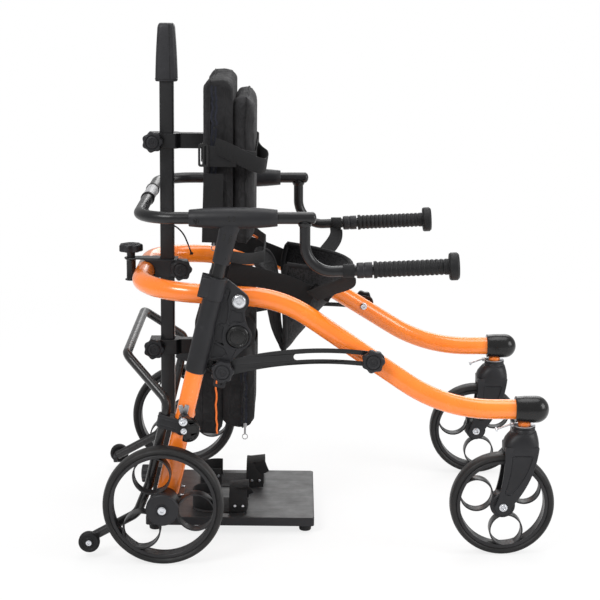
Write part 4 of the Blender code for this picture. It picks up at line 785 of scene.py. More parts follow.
def piece(name, body, parts, replaces=(), bevel=0.0, angle=38):
    """One object from (shape, place, look) parts that rides on a body."""
    whole = bmesh.new()
    names = []
    for bm, matrix, look in parts:
        if look not in names:
            names.append(look)
        for face in bm.faces:
            face.material_index = names.index(look)
        bm.transform(matrix)
        bmesh.ops.recalc_face_normals(bm, faces=bm.faces)
        mesh = bpy.data.meshes.new("part")
        bm.to_mesh(mesh)
        bm.free()
        whole.from_mesh(mesh)
        bpy.data.meshes.remove(mesh)
    mesh = bpy.data.meshes.new(name)
    whole.to_mesh(mesh)
    whole.free()
    for look in names:
        mesh.materials.append(LOOKS[look])
    mesh.shade_smooth()
    mesh.set_sharp_from_angle(angle=math.radians(angle))
    obj = bpy.data.objects.new(name, mesh)
    bpy.context.scene.collection.objects.link(obj)
    if bevel:
        step = obj.modifiers.new("rims", "BEVEL")
        step.width = bevel
        step.segments = 2
        step.limit_method = "ANGLE"
        step.angle_limit = math.radians(40)
        step.use_clamp_overlap = False
    if body:
        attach(obj, body)
    if replaces:
        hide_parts(*replaces)
    return obj


def dress(name, parts, body=None, bevel=0.0):
    """The piece that replaces one CAD node, on the body of that name or the given one."""
    return piece(f"{name}_dressed", body or name, parts, [name], bevel)


def at(x, y, z):
    return SHIFT @ move(x, y, z)


# Rolling base

def make_wheel(side, end, x, radius, half_y, hub_r, turn, low, high):
    """Tyre, rim and hub, with three deep ring spokes."""
    place = at(x, SIDES[side] * half_y, radius) @ UPRIGHT[side]
    seat = radius - TYRE_DEPTH
    inner = seat - RIM_WALL
    half = TYRE_WIDTH / 2
    tread = [(seat + 0.0008, 0.0134), (radius - 0.0088, 0.0170), (radius - 0.0050, half),
             (radius - 0.0018, half - 0.0032), (radius - 0.0006, half - 0.0080),
             (radius, half - 0.0125)]
    tread += [(r, -z) for r, z in reversed(tread)]
    lip = [(seat + 0.0020, RIM_HALF - 0.0012), (seat + 0.0004, RIM_HALF + 0.0006),
           (inner + 0.0022, RIM_HALF + 0.0006), (inner + 0.0004, RIM_HALF - 0.0004),
           (inner + 0.0012, RIM_HALF - 0.0040)]
    rim = lip + [(r, -z) for r, z in reversed(lip)]
    parts = [(turned(softened(tread, 0.0012, True), 112, ring=True), place, "tyre"),
             (turned(softened(rim, 0.0006, True), 112, ring=True), place, "wheel")]
    hub = [(0, low), (hub_r * 0.90, low), (hub_r * 0.92, high - 0.0150),
           (hub_r, high - 0.0140), (hub_r, high - 0.0022), (hub_r - 0.0022, high),
           (hub_r * 0.40, high), (hub_r * 0.37, high - 0.0012), (0, high - 0.0012)]
    parts.append((turned(softened(hub, 0.0007), 72), place, "plastic"))
    seat_r = hub_r * 0.86
    ring_r = (inner + RIM_WALL * 0.8 - seat_r) / 2
    reach = seat_r + ring_r
    depth = RIM_HALF - 0.002
    for i in range(3):
        angle = turn + i * 2 * math.pi / 3
        offset = move(reach * math.cos(angle), reach * math.sin(angle), 0)
        wall_in = ring_r - SPOKE_RING_WALL
        profile = [(wall_in, -depth + 0.001), (ring_r, -depth), (ring_r, depth),
                   (wall_in, depth - 0.001), (wall_in + 0.0009, depth - 0.004),
                   (wall_in + 0.0009, -depth + 0.004)]
        parts.append((turned(softened(profile, 0.0006, True), 72, ring=True),
                      place @ offset, "wheel"))
    dress(f"{end}_wheel_{side}", parts)


def make_main_tube():
    def side_corners(out):
        return [Vector((p.x, out * p.y, p.z))
                for p in (TUBE_FRONT, TUBE_FOOT, TUBE_KNEE, TUBE_REAR)]
    corners = side_corners(-1.0) + list(reversed(side_corners(1.0)))
    radii = list(TUBE_BENDS) + list(reversed(TUBE_BENDS))
    parts = [(tube(rounded_path(corners, radii, math.radians(3)), TUBE_R, 48), SHIFT,
              "paint")]
    for side, out in SIDES.items():
        inner_y = TUBE_AT_STRUT_Y - TUBE_R
        place = at(STRUT_FRONT[0], out * inner_y, STRUT_FRONT[1]) @ UPRIGHT[side]
        place = place @ Matrix.Rotation(math.pi, 4, "X")
        parts.append((bolt_head(0.0075, 0.0040), place, "zinc"))
    dress("main_tube", parts, "frame")


def make_front_end(side):
    """Dome cap, caster stem and the swivel lock's spring plate and wire."""
    y = SIDES[side] * TUBE_FRONT.y
    profile = [(TUBE_R + 0.0004, 0.0004), (CAP_R - 0.0018, 0.0), (CAP_R - 0.0006, 0.0012),
               (CAP_R - 0.0014, 0.0040), (CAP_R - 0.0002, 0.0180), (CAP_R, 0.0400)]
    for i in range(1, 9):
        angle = i * math.pi / 18
        profile.append((CAP_R * math.cos(angle), 0.0400 + 0.0246 * math.sin(angle)))
    profile.append((0.0, CAP_LENGTH))
    parts = [(turned([(0, 0.0004)] + profile, 64), at(CAP_REAR_X, y, TUBE_FRONT.z) @ ALONG_X,
              "gloss")]
    stem = softened([(0, FORK_TOP_Z), (0.0125, FORK_TOP_Z), (0.0125, FORK_TOP_Z + 0.006),
                     (0.0105, FORK_TOP_Z + 0.009), (0.0105, 0.272), (0, 0.272)], 0.0008)
    base = at(STEM_X, y, 0.0)
    parts.append((turned(stem, 40), base, "paint"))
    low = FORK_TOP_Z + 0.0003
    tab = [(0.021, -0.0060), (0.021, 0.0060)] + arc((0, 0), 0.0215, 60, 300, 24)
    parts.append((plate(tab, low, low + 0.0016), base, "steel"))
    bent = rounded_path([(0.010, 0, low + 0.0032), (-0.0215, 0, low + 0.0032),
                         (-0.0285, 0, low + 0.0010), (-0.0400, 0, low - 0.0030),
                         (-0.0530, 0, low - 0.0080)], [0.004, 0.004, 0.004])
    parts.append((tube(bent, 0.0017, 12), base, "zinc"))
    handle = [(-0.0530, -0.0085, low - 0.0080), (-0.0530, 0.0085, low - 0.0080)]
    parts.append((tube(handle, 0.0022, 14), base, "zinc"))
    parts.append((block((0.007, 0.012, 0.006), 0.001, (-0.0235, 0, low + 0.0012)), base,
                  "steel"))
    dress(f"end_cap_{side}", parts, "frame")


def fork_leg_outline():
    outline = arc((0, 0), FORK_FOOT_R, 180, 360, 16)
    outline += curve_between((FORK_FOOT_R, 0.0), (0.060, 0.050), (0.0666, 0.118), 14)
    outline += [(0.0012, 0.118)]
    outline += curve_between((0.0012, 0.118), (0.004, 0.045), (-FORK_FOOT_R, 0.0), 14)[:-1]
    return outline


def make_fork(side):
    """Caster fork with a swelling crown and a sunk panel in each curved leg."""
    y = SIDES[side] * TUBE_FRONT.y
    half_y = FORK_LEG_IN + FORK_LEG_THICK
    middle = -CASTER_TRAIL + 0.0339
    half_x = 0.0340
    shapes = ((0.985, 0.985, FORK_BOTTOM_Z, 1.0, 4.0),
              (1.0, 1.0, FORK_BOTTOM_Z + 0.004, 1.0, 3.8),
              (1.0, 1.0, FORK_SHOULDER_Z - 0.006, 1.0, 3.4),
              (0.985, 0.99, FORK_SHOULDER_Z, 0.95, 3.0),
              (0.93, 0.96, FORK_SHOULDER_Z + 0.007, 0.80, 2.7),
              (0.83, 0.90, FORK_SHOULDER_Z + 0.014, 0.52, 2.4),
              (0.73, 0.82, FORK_SHOULDER_Z + 0.020, 0.22, 2.2))
    rings = []
    for sx, sy, z, share, square in shapes:
        rings.append(oval(half_x * sx, (half_y + 0.0007) * sy, z, middle * share,
                          count=72, squareness=square))
    collar = FORK_COLLAR_R
    for r, z in ((collar, FORK_TOP_Z - 0.0095), (collar, FORK_TOP_Z - 0.0062),
                 (collar - 0.0012, FORK_TOP_Z - 0.0056), (collar - 0.0012, FORK_TOP_Z - 0.0044),
                 (collar, FORK_TOP_Z - 0.0038), (collar, FORK_TOP_Z - 0.0010),
                 (collar - 0.0010, FORK_TOP_Z)):
        rings.append(oval(r, r, z, count=72))
    parts = [(loft(rings), at(STEM_X, y, 0.0), "plastic")]
    panel = curve_between((0.0130, 0.0235), (0.0450, 0.0560), (0.0545, 0.1010), 10)
    panel = [(0.0130, 0.0235)] + panel + [(0.0160, 0.1010)]
    panel += curve_between((0.0160, 0.1010), (0.0150, 0.0600), (0.0020, 0.0260), 10)
    panel = softened(panel, 0.002, True, 2)
    base = at(WHEELBASE, y, FRONT_WHEEL_R)
    for facing in ("right", "left"):
        leg = plate(fork_leg_outline(), FORK_LEG_IN, half_y, pockets=[panel], depth=0.0011)
        parts.append((leg, base @ UPRIGHT[facing], "plastic"))
        parts.append((bolt_head(0.0082, 0.0030), base @ UPRIGHT[facing]
                      @ move(0, 0, half_y), "zinc"))
    parts.append((round_rod(0.006, -half_y, half_y), base @ UPRIGHT["right"], "zinc"))
    dress(f"caster_fork_{side}", parts, bevel=0.0011)


def make_leg(side):
    """Leg tube with the welded channel above the axle, the boss and the axle bolt."""
    frame_of_leg = LEG[side]
    outward = frame_of_leg @ UPRIGHT[side]
    parts = [(round_rod(LEG_R, 0.0, LEG_TOP), frame_of_leg, "paint"),
             (round_rod(0.0185, -0.0172, 0.0172, 0.0016), outward, "paint")]
    heights = (0.012, 0.020, 0.086, 0.098)
    widths = (0.0190, 0.0215, 0.0215, 0.0174)
    rings = [oval(width, 0.01755, z, 0.0022 if width > 0.018 else 0.0, squareness=4.5)
             for width, z in zip(widths, heights)]
    parts.append((loft(rings), frame_of_leg, "paint"))
    face = REAR_TRACK / 2 - LEG_HALF + HUB_REACH
    parts.append((round_rod(0.006, 0.0, face), outward, "zinc"))
    parts.append((bolt_head(0.0083, 0.0036), outward @ move(0, 0, face),
                  "zinc"))
    dress(f"leg_tube_{side}", parts, "rear_frame")


def sleeve_plate_outline():
    outline = [(0.012, 0.2813), (0.0425, 0.2920)]
    outline += arc(PLATE_TIP_AT, 0.009, 250, 310, 6)
    outline += arc(BUTTON_AT, 0.0265, -50, 55, 18)
    outline += curve_between(outline[-1], (0.0610, 0.3870), (0.0672, 0.4005), 10)[:-1]
    outline += arc(PIVOT_AT, 0.0190, -25, 56, 14)
    outline += [(0.0225, 0.4435), (0.0120, 0.4435)]
    return outline


SLEEVE_POCKETS = [
    [(0.0395, 0.3900), (0.0440, 0.3880), (0.0500, 0.3872), (0.0560, 0.3880),
     (0.0600, 0.3905), (0.0622, 0.3850), (0.0650, 0.3780), (0.0690, 0.3715),
     (0.0629, 0.3695), (0.0560, 0.3682), (0.0490, 0.3645), (0.0430, 0.3590),
     (0.0395, 0.3650), (0.0385, 0.3770)],
    [(0.0225, 0.4300), (0.0300, 0.4240), (0.0290, 0.4060), (0.0335, 0.3900), (0.0355, 0.3780),
     (0.0362, 0.3640), (0.0345, 0.3590), (0.0225, 0.3590)],
    [(0.0225, 0.3560), (0.0330, 0.3540), (0.0332, 0.3416), (0.0360, 0.3270),
     (0.0425, 0.3175), (0.0225, 0.3235)],
    [(0.0225, 0.3195), (0.0445, 0.3125), (0.0500, 0.3040), (0.0455, 0.2975),
     (0.0225, 0.2900)],
]


def make_sleeve(side):
    """Moulded leg sleeve: ribbed pivot plate, strut lug and split height clamp."""
    upright = LEG[side]
    outward = upright @ UPRIGHT[side]
    lower = softened([(0.0162, SLEEVE_BOTTOM), (SLEEVE_R - 0.0006, SLEEVE_BOTTOM),
                      (SLEEVE_R, SLEEVE_BOTTOM + 0.004), (SLEEVE_R, SLEEVE_STEP - 0.005),
                      (SLEEVE_NECK_R, SLEEVE_STEP + 0.001), (SLEEVE_NECK_R, SLEEVE_TOP),
                      (0.0162, SLEEVE_TOP)], 0.0012, True)
    parts = [(turned(lower, 64, ring=True), upright, "plastic")]
    pockets = [softened(p, 0.0015, True, 2) for p in SLEEVE_POCKETS]
    lobes = plate(sleeve_plate_outline(), -PLATE_OUT - PLATE_THICK, -PLATE_OUT,
                  holes=[circle(BUTTON_AT, 0.0222, 48)], pockets=pockets, depth=0.0022)
    parts.append((lobes, outward, "plastic"))
    well = round_rod(0.0225, -PLATE_OUT - PLATE_THICK, -PLATE_OUT - 0.005)
    centre = move(*BUTTON_AT, 0)
    parts.append((well, outward @ centre, "plastic"))
    rim = round_ring(0.0252, 0.0222, -PLATE_OUT - 0.004, -PLATE_OUT + 0.0010, 0.0008)
    parts.append((rim, outward @ centre, "plastic"))
    boss = round_ring(0.0172, 0.0142, -PLATE_OUT - 0.004, -PLATE_OUT + 0.0008, 0.0006)
    parts.append((boss, outward @ move(*PIVOT_AT, 0), "plastic"))
    lug = softened(arc(STRUT_PIN_AT, 0.0115, -90, 90, 16)
                   + [(0.0, STRUT_PIN_AT[1] + 0.0115), (0.0, STRUT_PIN_AT[1] - 0.0115)],
                   0.001, True, 1)
    lug_face = -(LEG_HALF - STRUT_OUT + STRUT_THICK + 0.0003)
    parts.append((plate(lug, lug_face - 0.008, lug_face), outward, "plastic"))
    ear = math.degrees(math.asin(0.0125 / COLLAR_R))
    outline = arc((0, 0), COLLAR_R, -180 + ear, 180 - ear, 36)
    outline += [(-0.029, 0.0125), (-0.029, 0.001), (-0.008, 0.001),
                (-0.008, -0.001), (-0.029, -0.001), (-0.029, -0.0125)]
    low = SLEEVE_TOP - 0.001
    parts.append((plate(softened(outline, 0.0009, True, 2), low, low + COLLAR_HEIGHT,
                        holes=[circle((0, 0), 0.0125, 40)]), upright, "plastic"))
    web = block((0.030, 0.011, COLLAR_HEIGHT - 0.006), 0.003,
                (-0.012, SIDES[side] * 0.0125, low + COLLAR_HEIGHT / 2))
    parts.append((web, upright, "plastic"))
    for count, (u, v) in enumerate(((0.0300, 0.2660), (0.0215, 0.2700))):
        spot = move(u, v, -0.0068)
        parts.append((bolt_head(0.0040 - count * 0.0008, 0.0014), outward @ spot, "gloss"))
    tab = rounded_rectangle(0.0385, 0.0620, 0.2330, 0.2620, 0.005)
    slots = [rounded_rectangle(x, x + 0.0042, 0.2390, 0.2500, 0.0018, 3)
             for x in (0.0430, 0.0510)]
    parts.append((plate(tab, lug_face - 0.004, lug_face - 0.0008, holes=slots), outward,
                  "plastic"))
    dress(f"leg_sleeve_{side}", parts, "rear_frame", bevel=0.0007)


def make_pivot(side):
    """Pivot bolt with its washer and bush, and the round fold button."""
    outward = LEG[side] @ UPRIGHT[side]
    spot = outward @ move(*PIVOT_AT, -PLATE_OUT + 0.0003)
    washer = round_rod(0.0134, 0.0, 0.0012, 0.0004)
    bush = round_rod(0.013, -0.0420, -0.0076, 0.0010)
    parts = [(bolt_head(0.0122, 0.0036, 0.42), spot @ move(0, 0, 0.0008),
              "zinc"),
             (washer, spot, "steel"), (bush, spot, "steel")]
    dress(f"pivot_bolt_{side}", parts, "frame")
    spot = outward @ move(*BUTTON_AT, -PLATE_OUT)
    profile = [(0, -0.0015), (0.0213, -0.0015), (0.0213, 0.0016), (0.0190, 0.0036),
               (0.0178, 0.0036), (0.0170, 0.0026), (0.0148, 0.0026), (0.0140, 0.0044),
               (0.0060, 0.0050), (0, 0.0051)]
    dress(f"fold_button_{side}", [(turned(softened(profile, 0.0007), 72), spot, "gloss")])


def strut_pin():
    x = STRUT_PIN_AT[0] * math.cos(LEG_TILT) + STRUT_PIN_AT[1] * math.sin(LEG_TILT)
    z = -STRUT_PIN_AT[0] * math.sin(LEG_TILT) + STRUT_PIN_AT[1] * math.cos(LEG_TILT)
    return x, z + REAR_WHEEL_R


def make_strut(side):
    """Slotted arc and the star knobs at its ends."""
    pin_x, pin_z = strut_pin()
    rise = STRUT_FRONT[1] - pin_z
    chord = math.hypot(STRUT_FRONT[0] - pin_x, rise)
    lean = math.atan2(rise, STRUT_FRONT[0] - pin_x)
    arc_r = chord ** 2 / (8 * STRUT_RISE) + STRUT_RISE / 2
    centre = (chord / 2, STRUT_RISE - arc_r)
    spread = math.degrees(math.asin(chord / 2 / arc_r))
    left = 90 + spread
    tip = 90 - spread - math.degrees(STRUT_TIP_RUN / arc_r)

    def band(start, stop, half):
        ends = [arc(centre, arc_r, a, a, 1)[0] for a in (start, stop)]
        loop = arc(centre, arc_r + half, start, stop, 48)
        loop += arc(ends[1], half, stop, stop - 180, 14)[1:-1]
        loop += arc(centre, arc_r - half, stop, start, 48)
        loop += arc(ends[0], half, start + 180, start, 14)[1:-1]
        return loop

    slot = band(left - math.degrees(SLOT_START / arc_r), tip, SLOT_HALF)
    body = plate(band(left, tip, STRUT_HALF), STRUT_OUT - STRUT_THICK, STRUT_OUT,
                 holes=[slot, circle((0, 0), STRUT_HOLE_R)])
    place = at(pin_x, 0, pin_z) @ Matrix.Rotation(-lean, 4, "Y") @ UPRIGHT[side]
    dress(f"arc_strut_{side}", [(body, place, "coat")], bevel=0.0006)
    face = STRUT_OUT + 0.0003 + KNOB_NECK
    for label, x, z in (("leg", pin_x, pin_z), ("strut", *STRUT_FRONT)):
        spot = at(x, 0, z) @ UPRIGHT[side] @ move(0, 0, face)
        stud = round_rod(0.004, -KNOB_NECK - 0.012, -KNOB_NECK)
        dress(f"{label}_knob_{side}", [(star_knob(), spot, "plastic"), (stud, spot, "zinc")])


# Brakes and kick bar

def leg_point(across, along):
    x = across * math.cos(LEG_TILT) + along * math.sin(LEG_TILT)
    z = REAR_WHEEL_R + along * math.cos(LEG_TILT) - across * math.sin(LEG_TILT)
    return x, z


def make_brake(side):
    """Clamp block round leg and kick bar, cam bracket with tabs and bolts, and cam."""
    outline = arc((0, 0), LEG_R + 0.0043, -100, 100, 32)
    outline += arc((-KICK_BACK, 0), KICK_R + 0.0043, 100, 260, 20)
    low = BRAKE_HEIGHT - 0.013
    upright = LEG[side]
    parts = [(plate(outline, low, low + 0.026, holes=[circle((0, 0), LEG_R + 0.0004, 48),
                                                       circle((-KICK_BACK, 0), KICK_R + 0.0004)]),
              upright, "plastic")]
    for height in (0.007, 0.019):
        band = [(u * 1.012, v * 1.03) for u, v in outline]
        parts.append((plate(band, low + height - 0.0015, low + height + 0.0015), upright,
                      "plastic"))
    outward = SHIFT @ UPRIGHT[side]
    inner = LEG_HALF + LEG_R + 0.0006
    face = LEG_HALF + LEG_R + 0.0043 + 0.007
    bracket = arc(CAM_PIVOT, 0.010, -20, 160, 20) + arc(CAM_PIN, 0.010, 180, 320, 16)
    parts.append((plate(bracket, inner, face), outward, "plastic"))
    for lean, reach in ((-16, 0.026), (14, 0.026)):
        turn = move(*CAM_PIVOT, 0) @ Matrix.Rotation(math.radians(-lean), 4, "Z")
        tab = rounded_rectangle(-0.0045, 0.0045, 0.004, reach, 0.0030)
        parts.append((plate(tab, inner + 0.001, inner + 0.0045), outward @ turn, "steel"))
    cam_face = face + 0.0003
    head = cam_face + 0.018
    parts.append((bolt_head(0.0084, 0.0036), outward @ move(*CAM_PIVOT, head),
                  "zinc"))
    parts.append((round_rod(0.0035, inner, head), outward @ move(*CAM_PIVOT, 0),
                  "zinc"))
    dress(f"brake_bracket_{side}", parts, "rear_frame", bevel=0.0008)
    cam = arc(CAM_CENTRE, CAM_R, -118, 62, 36) + arc(CAM_PIVOT, 0.010, 90, 180, 12)
    cam += [(CAM_PIN[0] + 0.0065, CAM_PIN[1] + 0.0060)]
    sunk = [softened(arc(CAM_CENTRE, CAM_R - 0.0045, -100, 40, 20)
                     + [(0.0440, 0.2690), (0.0420, 0.2560)], 0.001, True, 2)]
    shape = plate(softened(cam, 0.0012, True, 2), cam_face, cam_face + 0.018, pockets=sunk,
                  depth=0.0014)
    pin = move(CAM_PIN[0] + 0.0065, CAM_PIN[1] + 0.004, cam_face + 0.018)
    parts = [(shape, outward, "gloss"), (bolt_head(0.0062, 0.0024), outward @ pin, "zinc")]
    dress(f"brake_cam_{side}", parts, bevel=0.0008)


def make_kick_bar():
    def half_bar(out):
        foot = leg_point(-KICK_BACK, 0.02)
        top = leg_point(-KICK_BACK, BRAKE_HEIGHT + 0.0364)
        return [(TIP_WHEEL_AT[0] - 0.003, out * LEG_HALF, TIP_WHEEL_AT[1]),
                (-0.054, out * LEG_HALF, 0.084),
                (foot[0], out * LEG_HALF, foot[1]),
                (top[0], out * LEG_HALF, top[1]),
                (-0.075, out * 0.195, 0.381)]
    corners = half_bar(-1.0) + list(reversed(half_bar(1.0)))
    bends = [0.035, 0.040, 0.030, 0.030]
    path = rounded_path(corners, bends + list(reversed(bends)))
    parts = [(tube(path, KICK_R, 32), SHIFT, "kick")]
    for side in SIDES:
        spot = at(TIP_WHEEL_AT[0], 0, TIP_WHEEL_AT[1]) @ UPRIGHT[side]
        end = TIP_WHEEL_HALF + 0.0073
        parts.append((round_rod(0.003, LEG_HALF, end), spot, "zinc"))
        parts.append((bolt_head(0.0060, 0.0030), spot @ move(0, 0, end),
                      "zinc"))
        cap = move(-0.0105, -0.0060, LEG_HALF)
        cuff = spot @ cap @ Matrix.Rotation(math.radians(-90), 4, "Y")
        parts.append((round_rod(KICK_R + 0.0008, -0.0080, 0.0006, 0.001), cuff, "plastic"))
    dress("kick_bar", parts, "rear_frame")


def make_tip_wheel(side):
    spot = at(TIP_WHEEL_AT[0], 0, TIP_WHEEL_AT[1]) @ UPRIGHT[side]
    spot = spot @ move(0, 0, TIP_WHEEL_HALF)
    profile = softened([(0.0031, -0.007), (0.0085, -0.007), (0.0095, -0.0058),
                        (0.0125, -0.0058), (0.0140, -0.007), (0.0180, -0.007),
                        (TIP_WHEEL_R, -0.0042), (TIP_WHEEL_R, 0.0042), (0.0180, 0.007),
                        (0.0140, 0.007), (0.0125, 0.0058), (0.0095, 0.0058),
                        (0.0085, 0.007), (0.0031, 0.007)], 0.0008, True)
    dress(f"tip_wheel_{side}", [(turned(profile, 64, ring=True), spot, "grip")])


# Handlebar

def make_bar_sleeve(side):
    """T-shaped moulding with slots and screws, and the post below it."""
    y = SIDES[side] * LEG_HALF
    half = SLEEVE_T_LENGTH / 2
    profile = [(0.0118, -half + 0.0006), (0.0150, -half), (0.0158, -half + 0.0012)]
    for i in range(1, 12):
        t = -1 + i / 6
        swell = (1 - abs(t) ** 2.2)
        profile.append((0.0158 + 0.0044 * swell, half * 0.97 * t))
    profile += [(0.0158, half - 0.0012), (0.0150, half), (0.0118, half - 0.0006)]
    barrel = at(SLEEVE_T_X, y, BAR_Z) @ ALONG_X
    parts = [(turned(profile, 64, ring=True), barrel, "plastic")]
    upright = LEG[side]
    top = (BAR_Z - REAR_WHEEL_R) / math.cos(LEG_TILT)
    rings = []
    for share, x, y_half in ((0.0, 0.0163, 0.0163), (0.02, 0.0166, 0.0166),
                             (0.45, 0.0172, 0.0170), (0.70, 0.0182, 0.0176),
                             (0.84, 0.0205, 0.0178), (0.95, 0.0250, 0.0172),
                             (1.0, 0.0285, 0.0150)):
        z = SOCKET_BOTTOM + (top - SOCKET_BOTTOM) * share
        rings.append(oval(x, y_half, z, count=56, squareness=2.3))
    parts.append((loft(rings), upright, "plastic"))
    parts.append((round_rod(POST_R, 0.326, SOCKET_BOTTOM + 0.02), upright, "coat"))
    outward = upright @ UPRIGHT[side]
    for u in (-0.0075, 0.0045):
        slot = rounded_rectangle(u, u + 0.0042, 0.5180, 0.5310, 0.0018, 3)
        parts.append((plate(slot, 0.0150, 0.0176), outward, "gloss"))
    for (x, z), face in (((0.1253, 0.6184), 0.0158), ((0.1176, 0.5854), 0.0148),
                         ((0.0679, 0.6553), 0.0168)):
        spot = at(x, 0, z) @ UPRIGHT[side] @ move(0, 0, LEG_HALF + face)
        parts.append((round_ring(0.0050, 0.0038, -0.001, 0.0010, 0.0004), spot, "gloss"))
        parts.append((bolt_head(0.0036, 0.0010), spot, "gloss"))
    for x in (0.1290, 0.1380):
        slot = rounded_rectangle(x - 0.0022, x + 0.0022, BAR_Z - 0.004, BAR_Z + 0.006, 0.0016, 3)
        place = SHIFT @ UPRIGHT[side]
        parts.append((plate(slot, LEG_HALF + 0.0150, LEG_HALF + 0.0203), place, "gloss"))
    dress(f"bar_sleeve_{side}", parts, "handlebar")


def make_handlebar():
    ends = [(0.125, -LEG_HALF, BAR_Z), (BAR_REAR_X, -LEG_HALF, BAR_Z),
            (BAR_REAR_X, LEG_HALF, BAR_Z), (0.125, LEG_HALF, BAR_Z)]
    path = rounded_path(ends, [BAR_CORNER_R] * 2, math.radians(3))
    parts = [(tube(path, BAR_R, 36), SHIFT, "coat")]
    across = at(BAR_REAR_X, 0, BAR_Z) @ UPRIGHT["left"]
    # Light grey band along the rear of the black bar: a painted highlight.
    parts.append((round_rod(BAR_R + 0.0008, -0.026, 0.086, 0.0006), across, "highlight_grey"))
    for y in (-0.030, 0.090):
        spot = across @ move(0, 0, y)
        parts.append((round_rod(BAR_R + 0.0024, -0.005, 0.005, 0.0012), spot, "grip"))
    dress("handlebar", parts)


def grip_line(side):
    drop_x = HANDLE_END_X[side] - 0.0215
    return drop_x, Vector((drop_x + GRIP_OFFSET, SIDES[side] * LEG_HALF, GRIP_Z))


def make_handle(side):
    """Telescoping tube with a J-shaped drop and a ribbed grip."""
    y = SIDES[side] * LEG_HALF
    length = HANDLE_END_X[side] - HANDLE_START_X
    nose = [(0, 0), (HANDLE_R, 0.0), (HANDLE_R, length - 0.007)]
    for i in range(1, 9):
        angle = i * math.pi / 18
        nose.append((HANDLE_R * math.cos(angle), length - 0.007 + 0.0068 * math.sin(angle)))
    nose.append((0, length))
    parts = [(turned(nose, 48), at(HANDLE_START_X, y, BAR_Z) @ ALONG_X, "coat")]
    drop_x, start = grip_line(side)
    way = Vector((math.cos(GRIP_RISE), 0.0, math.sin(GRIP_RISE)))
    bend = start - way * (GRIP_OFFSET / math.cos(GRIP_RISE))
    tip = start + way * (GRIP_LENGTH - GRIP_END_THICK)
    path = rounded_path([(drop_x, y, BAR_Z), (drop_x, y, bend.z), tip], [0.052],
                        math.radians(3))
    parts.append((tube(path, DROP_R, 36), SHIFT, "coat"))
    weld = [(0, -0.002), (DROP_R + 0.0042, -0.002), (DROP_R + 0.0012, 0.005), (0, 0.005)]
    down = at(drop_x, y, BAR_Z - HANDLE_R) @ Matrix.Rotation(math.pi, 4, "X")
    parts.append((turned(softened(weld, 0.001), 40), down, "coat"))
    along = Matrix.Rotation(math.pi / 2 - GRIP_RISE, 4, "Y")
    axis = SHIFT @ Matrix.Translation(start) @ along
    collar = [(0, -0.032), (0.0140, -0.032), (0.0150, -0.029), (0.0150, -0.020),
              (0.0136, -0.018), (0.0150, -0.016), (0.0150, -0.003), (0, -0.003)]
    parts.append((turned(softened(collar, 0.0008), 48), axis, "plastic"))
    dress(f"handle_{side}", parts)
    profile = [(DROP_R, 0.0), (GRIP_R + 0.0010, 0.0), (GRIP_R + 0.0012, 0.005)]
    ribs = 15
    run = GRIP_LENGTH - GRIP_END_THICK - 0.010
    for i in range(ribs):
        z = 0.007 + run * i / ribs
        pitch = run / ribs
        profile += [(GRIP_R - 0.0012, z), (GRIP_R - 0.0012, z + pitch * 0.30),
                    (GRIP_R, z + pitch * 0.45), (GRIP_R, z + pitch * 0.85)]
    end = GRIP_LENGTH
    profile += [(GRIP_R - 0.0004, end - GRIP_END_THICK),
                (GRIP_END_R - 0.002, end - GRIP_END_THICK),
                (GRIP_END_R, end - GRIP_END_THICK + 0.003), (GRIP_END_R, end - 0.0035),
                (GRIP_END_R - 0.0035, end + 0.0004), (0.012, end + 0.0008), (0, end + 0.0008)]
    grip = turned([(0, 0.0)] + softened(profile, 0.0006), 64)
    dress(f"grip_{side}", [(grip, axis, "grip")], f"handle_{side}")


# Standing mast

def square_ring(half, z):
    return [Vector((x, y, z)) for x, y in
            rounded_rectangle(-half, half, -half, half, MAST_CORNER_R, 4)]


def make_mast():
    """Square tube, and the padded sleeve on its top."""
    low = PLATE_TOP + 0.0003
    parts = [(loft([square_ring(MAST_HALF, low), square_ring(MAST_HALF, MAST_TOP)]), MAST,
              "coat")]
    dress("mast", parts, "standing_unit")
    rings = []
    heights = (0.0, 0.012, 0.03, 0.2, 0.4, 0.6, 0.8, 0.93, 0.975, 1.0)
    for share in heights:
        z = 0.8900 + 0.1130 * share
        swell = 0.0009 * math.sin(math.pi * share) - (0.0030 if share == 1.0 else 0.0)
        swell -= 0.0012 if share == 0.0 else 0.0
        swell -= 0.0010 if share == 0.975 else 0.0
        half_x = 0.0220 - 0.0055 * share + swell
        half_y = 0.0200 - 0.0030 * share + swell
        rings.append(oval(half_x, half_y, z, count=64, squareness=4.5))
    parts = [(loft(rings), MAST, "vinyl")]
    for out in (-1, 1):
        seam = [Vector((0.0085 - 0.0020 * t, out * (0.0203 - 0.0028 * t), 0.8915 + 0.110 * t))
                for t in (0.0, 0.25, 0.5, 0.75, 1.0)]
        parts.append((tube(seam, 0.0007, 8), MAST, "gloss"))
    hem = [Vector((p.x, p.y, 0.8945))
           for p in oval(0.0222, 0.0202, 0.0, count=64, squareness=4.5)]
    parts.append((tube(hem + hem[:1], 0.0006, 8), MAST, "gloss"))
    head = dress("head_sleeve", parts, "standing_unit")


